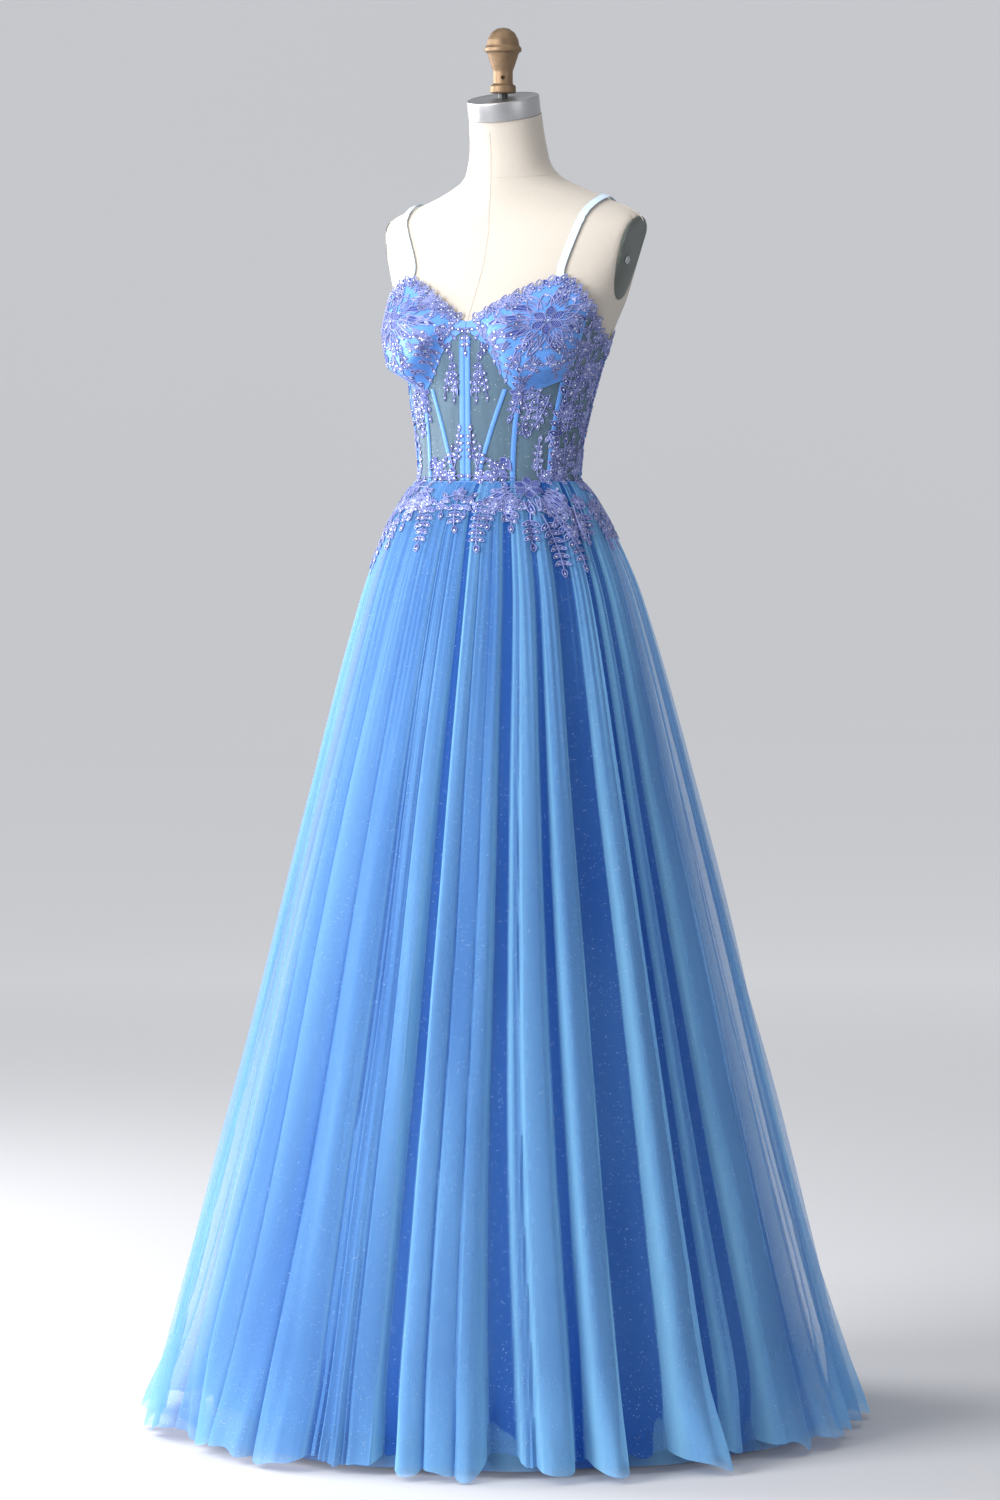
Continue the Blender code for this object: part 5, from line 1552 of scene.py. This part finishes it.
    def made(self, *nodes):
        """Turn the drawing into one piece of lace with its cord, its grounds and its sequins."""
        cage = tubes(self.name, self.cords, 0)
        for left, spine, right in self.fills:
            rows = [[cage.verts.new(self.laid(place, lift)) for place in line]
                    for line, lift in ((left, GROUND_LIFT), (spine, SPINE_LIFT), (right, GROUND_LIFT))]
            for first, second in zip(rows, rows[1:]):
                for corners in zip(first, second, second[1:], first[1:]):
                    cage.faces.new(corners if self.side > 0.0 else corners[::-1]).material_index = 1
        for place, radius in self.sequins:
            centre = cage.verts.new(self.laid(place, SEQUIN_LIFT))
            rim = [cage.verts.new(self.laid(place + heading_of(step * 60.0) * radius, SEQUIN_RIM_LIFT))
                   for step in range(6)]
            for index in range(6):
                corners = (centre, rim[index], rim[(index + 1) % 6])
                cage.faces.new(corners if self.side > 0.0 else corners[::-1]).material_index = 2
        bmesh.ops.remove_doubles(cage, verts=cage.verts, dist=0.000001)
        piece = finish_piece(self.name, cage, [finish_of(kind) for kind in ("cord", "fill", "sequin")])
        if nodes:
            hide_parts(*nodes)
        return piece


# Motifs of the frame: a rosette of petals with sprays that grow out between them
Stem = namedtuple("Stem", "slot bare bend leaf pairs")
Motif = namedtuple("Motif", "name degrees z turn petals petal width stems")
MIDDLE_MOTIF = Motif("lace_waist_front", 1.0, 1.162, 90, 5, 0.010, 0.0065, (
    Stem(2, 0.012, 12, 0.012, 3), Stem(1, 0.012, 52, 0.011, 1), Stem(3, 0.012, -52, 0.011, 1)))
LEFT_MOTIFS = (
    Motif("lace_cup", 42.0, 1.374, 90, 6, 0.021, 0.0110, (
        Stem(1, 0.022, 16, 0.013, 1), Stem(2, 0.022, -20, 0.012, 1),
        Stem(3, 0.022, 25, 0.012, 1), Stem(4, 0.021, -30, 0.012, 1))),
    Motif("lace_bust", 18.0, 1.351, 90, 5, 0.009, 0.0060, (
        Stem(2, 0.009, 0, 0.009, 1),)),
    Motif("lace_side", 83.0, 1.314, 90, 6, 0.014, 0.0080, (
        Stem(1, 0.015, 45, 0.011, 1), Stem(2, 0.015, 20, 0.013, 2), Stem(3, 0.015, -20, 0.013, 2))),
    Motif("lace_waist_flower", 44.0, 1.170, 90, 6, 0.019, 0.0108, (
        Stem(3, 0.017, -8, 0.013, 4), Stem(2, 0.017, 25, 0.012, 2), Stem(1, 0.017, 30, 0.011, 1))),
    Motif("lace_waist_side", 77.0, 1.152, 90, 5, 0.011, 0.0070, (
        Stem(2, 0.013, -10, 0.012, 3), Stem(3, 0.013, -60, 0.012, 2))),
    Motif("lace_waist_back", 118.0, 1.156, 90, 5, 0.012, 0.0075, (
        Stem(2, 0.014, 12, 0.012, 3), Stem(3, 0.014, -55, 0.012, 1))),
)


# Long petals that swirl out from the flower on the cup, over its satin
Swirl = namedtuple("Swirl", "heading start length width sway")
CUP_SWIRLS = (
    Swirl(100, 0.020, 0.032, 0.0085, -0.50), Swirl(128, 0.019, 0.037, 0.0085, 0.45),
    Swirl(150, 0.019, 0.046, 0.0095, 0.35), Swirl(172, 0.018, 0.054, 0.0100, 0.30),
    Swirl(192, 0.018, 0.052, 0.0095, 0.28), Swirl(212, 0.018, 0.038, 0.0100, -0.20),
    Swirl(236, 0.019, 0.030, 0.0095, 0.25), Swirl(262, 0.018, 0.036, 0.0095, -0.25),
    Swirl(286, 0.018, 0.034, 0.0090, 0.30), Swirl(310, 0.018, 0.032, 0.0085, -0.35),
    Swirl(332, 0.018, 0.034, 0.0085, -0.35), Swirl(352, 0.018, 0.032, 0.0085, -0.40),
    Swirl(14, 0.018, 0.034, 0.0085, -0.40), Swirl(38, 0.019, 0.033, 0.0085, -0.45),
    Swirl(66, 0.020, 0.032, 0.0085, 0.50), Swirl(83, 0.024, 0.024, 0.0080, 0.40),
)

# Leafy sprigs: where each starts, where it heads, and its leaves
Sprig = namedtuple("Sprig", "degrees z heading bare bend leaf pairs")
CUP_SPRIGS = (
    Sprig(14, 1.366, 205, 0.003, 20, 0.009, 2), Sprig(31, 1.330, 238, 0.003, 15, 0.010, 3),
    Sprig(42, 1.326, 262, 0.003, -20, 0.010, 2), Sprig(50, 1.326, 285, 0.003, 20, 0.010, 2),
    Sprig(57, 1.340, 300, 0.003, -25, 0.011, 3), Sprig(56, 1.388, 20, 0.003, -15, 0.009, 2),
    Sprig(27, 1.396, 160, 0.003, 20, 0.009, 2), Sprig(36, 1.305, 250, 0.002, 10, 0.009, 1),
)
CENTRE_SPRIGS = (
    Sprig(0.0, 1.3660, 270, 0.002, 6, 0.0085, 3), Sprig(-1.5, 1.3650, 196, 0.002, 10, 0.007, 0),
    Sprig(1.5, 1.3650, -16, 0.002, -10, 0.007, 0),
)
BUST_SPRIGS = (
    Sprig(15, 1.356, 158, 0.005, -12, 0.010, 3), Sprig(16, 1.350, 196, 0.006, 38, 0.011, 2),
    Sprig(19, 1.346, 300, 0.005, -30, 0.009, 3), Sprig(12, 1.3440, 228, 0.003, 24, 0.009, 1),
    Sprig(8.5, 1.3300, 264, 0.008, 6, 0.0110, 4), Sprig(9.5, 1.3140, 304, 0.005, -16, 0.0100, 3),
    Sprig(8.0, 1.3120, 238, 0.005, 20, 0.0090, 2),
)
FRONT_SPRIGS = (
    Sprig(34, 1.282, 262, 0.005, -12, 0.0105, 2), Sprig(35, 1.284, 305, 0.005, -20, 0.0100, 2),
    Sprig(33, 1.288, 80, 0.004, 15, 0.0090, 2), Sprig(38, 1.286, 8, 0.004, -40, 0.0090, 2),
    Sprig(47, 1.286, 268, 0.008, 14, 0.0100, 3), Sprig(55, 1.284, 256, 0.010, -18, 0.0105, 4),
    Sprig(41, 1.232, 118, 0.004, -60, 0.0090, 3), Sprig(52, 1.186, 96, 0.006, -14, 0.0085, 4),
    Sprig(50, 1.190, 60, 0.004, 26, 0.0080, 2), Sprig(58, 1.236, 292, 0.004, 30, 0.0085, 3),
    Sprig(9, 1.192, 106, 0.014, -14, 0.0085, 4), Sprig(8, 1.190, 70, 0.010, 24, 0.0080, 2),
    Sprig(22, 1.190, 118, 0.006, 18, 0.0080, 1), Sprig(30, 1.186, 150, 0.005, -16, 0.0085, 2),
    Sprig(17, 1.182, 168, 0.004, 14, 0.0085, 2),
)
# Long double cords that fan out over the skirt below the large flower
SKIRT_SWIRLS = (
    Swirl(-14, 0.020, 0.030, 0.0070, -0.40), Swirl(-30, 0.020, 0.040, 0.0080, -0.35),
    Swirl(-44, 0.020, 0.046, 0.0085, -0.28), Swirl(-58, 0.020, 0.044, 0.0085, -0.20),
    Swirl(-74, 0.020, 0.032, 0.0080, 0.20), Swirl(-96, 0.020, 0.028, 0.0080, 0.25),
    Swirl(196, 0.020, 0.036, 0.0080, 0.35), Swirl(212, 0.020, 0.040, 0.0080, 0.30),
    Swirl(230, 0.020, 0.034, 0.0080, 0.25),
)
SKIRT_SPRIGS = (
    Sprig(9, 1.164, 258, 0.010, 8, 0.0100, 2), Sprig(17, 1.158, 262, 0.005, 12, 0.0115, 6),
    Sprig(24, 1.158, 246, 0.008, 26, 0.0105, 3), Sprig(29, 1.160, 276, 0.006, -14, 0.0110, 2),
    Sprig(37, 1.152, 242, 0.014, 30, 0.0110, 2), Sprig(43, 1.140, 266, 0.012, 6, 0.0120, 3),
    Sprig(49, 1.138, 288, 0.014, -16, 0.0125, 6), Sprig(53, 1.142, 304, 0.016, -30, 0.0125, 6),
    Sprig(58, 1.156, 320, 0.012, -40, 0.0115, 4), Sprig(72, 1.148, 262, 0.010, 16, 0.0110, 3),
    Sprig(84, 1.150, 296, 0.007, -16, 0.0115, 5), Sprig(90, 1.160, 308, 0.010, -32, 0.0115, 6),
    Sprig(101, 1.158, 280, 0.010, 10, 0.0115, 4), Sprig(110, 1.158, 250, 0.008, 22, 0.0105, 3),
    Sprig(128, 1.158, 300, 0.010, -24, 0.0110, 4), Sprig(139, 1.158, 272, 0.008, 10, 0.0115, 4),
    Sprig(148, 1.160, 290, 0.008, -12, 0.0105, 3), Sprig(157, 1.160, 262, 0.008, 16, 0.0110, 4),
    Sprig(167, 1.162, 280, 0.007, -10, 0.0100, 3),
)
# Sprigs that run along the waist seam and cover it here and there
WAIST_SPRIGS = (
    Sprig(6, 1.179, 14, 0.004, 10, 0.0090, 1), Sprig(36, 1.181, 168, 0.010, 22, 0.0105, 2),
    Sprig(53, 1.180, 8, 0.006, -14, 0.0105, 1), Sprig(68, 1.180, 14, 0.003, 8, 0.0105, 2),
    Sprig(86, 1.176, -8, 0.003, -8, 0.0110, 3), Sprig(106, 1.179, 6, 0.003, 8, 0.0110, 3),
    Sprig(126, 1.177, -6, 0.003, -8, 0.0110, 2), Sprig(148, 1.179, 6, 0.003, 8, 0.0110, 2),
    Sprig(166, 1.178, -4, 0.003, 8, 0.0100, 1),
)
# Sprigs that climb the sides and the back from the waist, in columns
SIDE_COLUMNS = (66.0, 75.0, 84.0, 93.0, 101.0)
BACK_COLUMNS = (110.0, 121.0, 133.0, 146.0, 159.0, 171.0)

# Flowers besides the frame's: degrees, height, number of petals, their length and width
Flower = namedtuple("Flower", "degrees z petals petal width turn")
FRONT_FLOWERS = (
    Flower(34, 1.285, 5, 0.0105, 0.0062, 90), Flower(19, 1.184, 5, 0.0085, 0.0055, 60),
    Flower(57, 1.184, 5, 0.0085, 0.0055, 100),
)
SIDE_FLOWERS = (
    Flower(70, 1.262, 6, 0.0130, 0.0075, 80), Flower(92, 1.250, 6, 0.0120, 0.0070, 100),
    Flower(81, 1.214, 5, 0.0120, 0.0075, 90), Flower(98, 1.208, 5, 0.0110, 0.0065, 70),
    Flower(68, 1.208, 5, 0.0100, 0.0060, 110), Flower(97, 1.316, 6, 0.0120, 0.0070, 90),
    Flower(68, 1.338, 6, 0.0130, 0.0075, 75),
)
SKIRT_FLOWERS = (
    Flower(66, 1.116, 6, 0.0100, 0.0060, 90), Flower(24, 1.150, 5, 0.0090, 0.0060, 120),
    Flower(97, 1.118, 5, 0.0095, 0.0060, 60), Flower(134, 1.128, 5, 0.0095, 0.0060, 90),
    Flower(150, 1.170, 6, 0.0125, 0.0075, 90), Flower(104, 1.170, 6, 0.0120, 0.0075, 90),
)
# Open loops above the waist seam; the first few belong to the front
FRONT_LOOPS = 4
Loop = namedtuple("Loop", "degrees z heading length width sway")
WAIST_LOOPS = (
    Loop(22, 1.183, 72, 0.020, 0.0105, -0.15), Loop(33, 1.190, 120, 0.021, 0.0110, 0.20),
    Loop(12, 1.180, 100, 0.015, 0.0085, 0.20), Loop(62, 1.182, 70, 0.018, 0.0095, -0.20),
    Loop(74, 1.182, 110, 0.018, 0.0095, 0.20), Loop(88, 1.182, 74, 0.018, 0.0095, -0.20),
    Loop(112, 1.182, 104, 0.018, 0.0095, 0.20), Loop(128, 1.182, 76, 0.019, 0.0100, -0.20),
    Loop(144, 1.182, 104, 0.018, 0.0095, 0.20), Loop(160, 1.182, 76, 0.017, 0.0090, -0.20),
)


def draw_motif(lace, plan):
    """The frame's own motif, with its petals and sprays in the same places."""
    lace.flower(0.0, plan.petals, plan.petal, plan.width, turn=plan.turn)
    hub = plan.width * 0.42 / (2.0 * math.sin(math.pi / (2.0 * plan.petals)))
    for stem in plan.stems:
        degrees = plan.turn + (stem.slot + 0.5) * 360.0 / plan.petals
        lace.spray(heading_of(degrees) * 0.6 * hub, degrees, stem.bare + 0.4 * hub, stem.bend,
                   stem.leaf, stem.pairs)


def draw_sprigs(lace, sprigs):
    for sprig in sprigs:
        lace.spray(lace.at(sprig.degrees, sprig.z), sprig.heading, sprig.bare, sprig.bend,
                   sprig.leaf, sprig.pairs)


def draw_flowers(lace, flowers):
    for flower in flowers:
        lace.flower(lace.at(flower.degrees, flower.z), flower.petals, flower.petal, flower.width,
                    turn=flower.turn, hatch=3)


def draw_columns(lace, columns, low, leaf, spread=46.0):
    """Sprigs that climb from the waist to just under the top edge, one above the other."""
    for index, degrees in enumerate(columns):
        top = neck_edge(degrees) - 0.016
        z = low + 0.006 * (index % 3)
        while z < top:
            lean = lace.random.uniform(-16.0, 16.0)
            pairs = 3 if z + 0.040 < top else 2
            lace.spray(lace.at(degrees + lace.random.uniform(-1.5, 1.5), z), 90.0 + lean, 0.003,
                       -1.6 * lean, leaf * lace.random.uniform(0.9, 1.15), pairs, spread)
            z += (pairs + 1) * (0.62 * leaf + 0.0032) + 0.006


def draw_edge(lace, start, end):
    """Scallops along the top edge: a loop of cord with a bead, and a small leaf in each dip."""
    degrees = start
    while degrees < end:
        place = lace.at(degrees, neck_edge(degrees))
        ahead = lace.at(degrees + 0.5, neck_edge(degrees + 0.5)) - place
        along = ahead / abs(ahead)
        angle = math.degrees(cmath.phase(along))
        root = place - 1j * along * 0.0080
        lace.blade(root, angle + 116.0, 0.0165, 0.0085, sway=-0.50, widest=0.64, sequin=0.75,
                   ground=False)
        lace.blade(root + along * 0.0055, angle + 72.0, 0.0130, 0.0065, sway=0.45, widest=0.6, sequin=0.6)
        lace.scroll(root + along * 0.0020, angle + 96.0, 0.0100, 150.0, 0.0015)
        degrees += EDGE_PITCH / lace.arc
    lace.sequin(lace.at(start, neck_edge(start)), 1.0)


def draw_swirl(lace, swirl, ground):
    lace.swirl(heading_of(swirl.heading) * swirl.start, swirl.heading, swirl.length, swirl.width,
               swirl.sway, ground=ground)


def draw_cup_swirls(lace):
    """Petals that swirl out from the cup's middle, and a second ring of them where there is room."""
    for index, swirl in enumerate(CUP_SWIRLS):
        draw_swirl(lace, swirl, index % 3 != 1)
    for index in range(OUTER_SWIRLS):
        heading = 8.0 + index * 360.0 / OUTER_SWIRLS
        root = heading_of(heading) * OUTER_SWIRL_START
        tip = heading_of(heading) * (OUTER_SWIRL_START + OUTER_SWIRL_LENGTH)
        degrees = lace.degrees + tip.real / lace.arc
        z = lace.z + tip.imag / lace.rise
        on_cup = edge_height(CUP_BASE, degrees) + 0.012 < z < neck_edge(degrees) + 0.012
        if 7.0 < degrees < 74.0 and on_cup:
            lace.swirl(root, heading, OUTER_SWIRL_LENGTH, 0.0085, 0.45 if index % 2 else -0.45)


def draw_loops(lace, loops):
    for loop in loops:
        lace.loop(lace.at(loop.degrees, loop.z), loop.heading, loop.length, loop.width, loop.sway)


def neckline_lift(lace):
    """Sprigs of the neckline that stand a little above the satin between centre and strap."""
    for degrees, length in ((9.0, 0.014), (13.0, 0.019), (17.5, 0.022), (22.0, 0.022), (27.0, 0.019)):
        lace.swirl(lace.at(degrees, neck_edge(degrees) - 0.007), 122.0, length, 0.0075, -0.45)


def build_lace():
    """Every piece of lace: the frame's thirteen motifs, drawn finer, and the lace between them."""
    middle = Lace("lace_waist_front_cord", MIDDLE_MOTIF.degrees, MIDDLE_MOTIF.z)
    draw_motif(middle, MIDDLE_MOTIF)
    middle.made("lace_waist_front")
    centre = Lace("lace_centre_cord", 0.0, 1.345)
    draw_sprigs(centre, CENTRE_SPRIGS)
    centre.made()
    for side, word in ((1.0, "left"), (-1.0, "right")):
        for plan in LEFT_MOTIFS:
            lace = Lace("%s_%s_cord" % (plan.name, word), plan.degrees, plan.z, side)
            draw_motif(lace, plan)
            if plan.name == "lace_cup":
                draw_cup_swirls(lace)
                draw_sprigs(lace, CUP_SPRIGS)
            if plan.name == "lace_bust":
                draw_sprigs(lace, BUST_SPRIGS)
            if plan.name == "lace_waist_flower":
                for swirl in SKIRT_SWIRLS:
                    draw_swirl(lace, swirl, True)
            lace.made("%s_%s" % (plan.name, word))
        edge = Lace("lace_edge_%s_cord" % word, 36.0, 1.400, side)
        draw_edge(edge, 6.0, 72.0)
        neckline_lift(edge)
        edge.made()
        front = Lace("lace_front_%s_cord" % word, 36.0, 1.230, side)
        draw_sprigs(front, FRONT_SPRIGS)
        draw_flowers(front, FRONT_FLOWERS)
        draw_loops(front, WAIST_LOOPS[:FRONT_LOOPS])
        front.made()
        flank = Lace("lace_flank_%s_cord" % word, 83.0, 1.260, side, seed=5)
        draw_columns(flank, SIDE_COLUMNS, WAIST_Z + 0.004, 0.0125)
        draw_flowers(flank, SIDE_FLOWERS)
        draw_edge(flank, 72.0, 104.0)
        flank.made()
        back = Lace("lace_back_%s_cord" % word, 140.0, 1.250, side, seed=9)
        draw_columns(back, BACK_COLUMNS, WAIST_Z + 0.004, 0.0120)
        draw_edge(back, 104.0, 177.0)
        draw_loops(back, WAIST_LOOPS[FRONT_LOOPS:])
        back.made()
        band = Lace("lace_band_%s_cord" % word, 70.0, 1.178, side)
        draw_sprigs(band, WAIST_SPRIGS)
        band.made()
        skirt = Lace("lace_skirt_%s_cord" % word, 60.0, 1.150, side)
        draw_sprigs(skirt, SKIRT_SPRIGS)
        draw_flowers(skirt, SKIRT_FLOWERS)
        skirt.made()


# Stage
def stage_ring(name, profile, paper):
    """A round piece of the stage, from pairs of radius and height."""
    cage = bmesh.new()
    turns = [step * math.tau / STAGE_STEPS for step in range(STAGE_STEPS)]
    rows = [[cage.verts.new((radius * math.cos(turn), radius * math.sin(turn), high - STAGE_SUNK))
             for turn in turns] for radius, high in profile]
    for first, second in zip(rows, rows[1:]):
        for index in range(STAGE_STEPS):
            after = (index + 1) % STAGE_STEPS
            cage.faces.new((first[index], second[index], second[after], first[after]))
    mesh = bpy.data.meshes.new(name)
    cage.to_mesh(mesh)
    cage.free()
    mesh.shade_smooth()
    mesh.materials.append(paper)
    return bpy.data.objects.new(name, mesh)


def build_stage():
    """A pale floor that curves up all round into the backdrop, soft lights, and the photograph's camera."""
    right = Vector((math.cos(CAMERA_AZIMUTH), math.sin(CAMERA_AZIMUTH), 0.0))
    ahead = Vector((math.sin(CAMERA_AZIMUTH), -math.cos(CAMERA_AZIMUTH), 0.0))
    turns = [step * math.pi / (2.0 * BEND_STEPS) for step in range(BEND_STEPS + 1)]
    line = [(FLOOR_EDGE, 0.0)]
    line += [(LEVEL_TO + BEND * math.sin(turn), BEND * (1.0 - math.cos(turn))) for turn in turns]
    line.append((LEVEL_TO + BEND, WALL_TOP))
    paper = Finish("backdrop_paper", roughness=0.9, specular_ior_level=0.1, emission_strength=1.0)
    across = paper.axis("X")
    along = paper.axis("Y")
    radius = (across * across + along * along) ** 0.5
    # painted light: the paper glows, the more the farther it lies from the middle, in place of lamp light on
    # the far floor and wall; the floor near its edge glows a little too
    paper.set(base_color=paper.mix(paper.grain(0.5), (0.58, 0.58, 0.60), (0.62, 0.62, 0.64)),
              emission_color=paper.mix((radius - GLOW_START) * GLOW_RISE,
                                       (0.0, 0.0, 0.0), (0.35, 0.355, 0.365)))
    floor = stage_ring("floor", [(FLOOR_CENTRE, 0.0), (FLOOR_EDGE, 0.0)], paper.material)
    backdrop = stage_ring("backdrop", line, paper.material)
    backdrop.visible_diffuse = False
    backdrop.visible_shadow = False
    made = [floor, backdrop]
    for lamp in LAMPS:
        data = bpy.data.lights.new(lamp.name, "AREA")
        data.energy = lamp.watts
        data.size = lamp.size
        light = bpy.data.objects.new(lamp.name, data)
        light.location = right * lamp.right + ahead * lamp.ahead + Vector((0.0, 0.0, lamp.height))
        light.rotation_euler = (light.location - LAMP_TARGET).to_track_quat("Z", "Y").to_euler()
        light.visible_camera = False
        made.append(light)
    data = bpy.data.cameras.new("camera")
    data.sensor_fit = "VERTICAL"
    data.sensor_height = SENSOR
    data.lens = FOCAL_PIXELS / FRAME_HEIGHT * SENSOR
    data.shift_x = (FRAME_WIDTH / 2.0 - AXIS_PIXEL_X) / FRAME_HEIGHT
    data.clip_end = 60.0
    camera = bpy.data.objects.new("camera", data)
    camera.location = ahead * CAMERA_DISTANCE + Vector((0.0, 0.0, CAMERA_HEIGHT))
    camera.rotation_euler = (math.pi / 2.0 - CAMERA_PITCH, 0.0, CAMERA_AZIMUTH)
    made.append(camera)
    scene = bpy.context.scene
    for item in made:
        scene.collection.objects.link(item)
    scene.camera = camera
    world = bpy.data.worlds.new("studio")
    world.use_nodes = True
    sky = world.node_tree.nodes["Background"].inputs
    sky["Color"].default_value = SKY_COLOUR
    sky["Strength"].default_value = SKY_STRENGTH
    scene.world = world
    scene.view_settings.view_transform = "Standard"
    scene.cycles.transparent_max_bounces = 32


class PROMDRESS_OT_form(Operator):
    """Build the canvas form with its seams, arm plates, neck cap and finial."""
    bl_idname = "prom_dress.form"
    bl_label = "Dress form"

    def execute(self, context):
        build_form()
        return {"FINISHED"}


class PROMDRESS_OT_stand(Operator):
    """Build the base, the pole and the flange that carry the form."""
    bl_idname = "prom_dress.stand"
    bl_label = "Stand"

    def execute(self, context):
        build_stand()
        return {"FINISHED"}


class PROMDRESS_OT_skirt(Operator):
    """Build the lining and the two tulle skirts."""
    bl_idname = "prom_dress.skirt"
    bl_label = "Skirt"

    def execute(self, context):
        build_skirt()
        return {"FINISHED"}


class PROMDRESS_OT_bodice(Operator):
    """Build the corset panels, the cups and the boning channels."""
    bl_idname = "prom_dress.bodice"
    bl_label = "Bodice"

    def execute(self, context):
        build_bodice()
        return {"FINISHED"}


class PROMDRESS_OT_straps(Operator):
    """Build the two shoulder straps."""
    bl_idname = "prom_dress.straps"
    bl_label = "Straps"

    def execute(self, context):
        build_straps()
        return {"FINISHED"}


class PROMDRESS_OT_zip(Operator):
    """Build the centre back zip with its slider and pull tab."""
    bl_idname = "prom_dress.zip"
    bl_label = "Zip"

    def execute(self, context):
        build_zip()
        return {"FINISHED"}


class PROMDRESS_OT_lace(Operator):
    """Lay the lace with its cord, leaves and sequins on the bodice and the skirt."""
    bl_idname = "prom_dress.lace"
    bl_label = "Lace"

    def execute(self, context):
        build_lace()
        return {"FINISHED"}


class PROMDRESS_OT_stage(Operator):
    """Set up the backdrop, the lights and the camera."""
    bl_idname = "prom_dress.stage"
    bl_label = "Stage"

    def execute(self, context):
        build_stage()
        return {"FINISHED"}


OPERATORS = (PROMDRESS_OT_form, PROMDRESS_OT_stand, PROMDRESS_OT_skirt, PROMDRESS_OT_bodice,
             PROMDRESS_OT_straps, PROMDRESS_OT_zip, PROMDRESS_OT_lace, PROMDRESS_OT_stage)


class PROMDRESS_PT_sidebar(Panel):
    """Lists the parts of the dress that can be built."""
    bl_label = "Prom Dress"
    bl_idname = "PROMDRESS_PT_sidebar"
    bl_space_type = "VIEW_3D"
    bl_region_type = "UI"
    bl_category = "Prom Dress"

    def draw(self, context):
        for operator in OPERATORS:
            self.layout.operator(operator.bl_idname)


CLASSES = (ClothSettings, SkirtSettings, LaceSettings, DressSettings, *OPERATORS, PROMDRESS_PT_sidebar)


def register():
    for kind in CLASSES:
        bpy.utils.register_class(kind)
    bpy.types.Scene.prom_dress = PointerProperty(type=DressSettings)


def unregister():
    del bpy.types.Scene.prom_dress
    for kind in reversed(CLASSES):
        bpy.utils.unregister_class(kind)


def main():
    register()
    for operator in OPERATORS:
        getattr(bpy.ops.prom_dress, operator.bl_idname.split(".")[1])()
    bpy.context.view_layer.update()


if __name__ == "__main__":
    main()
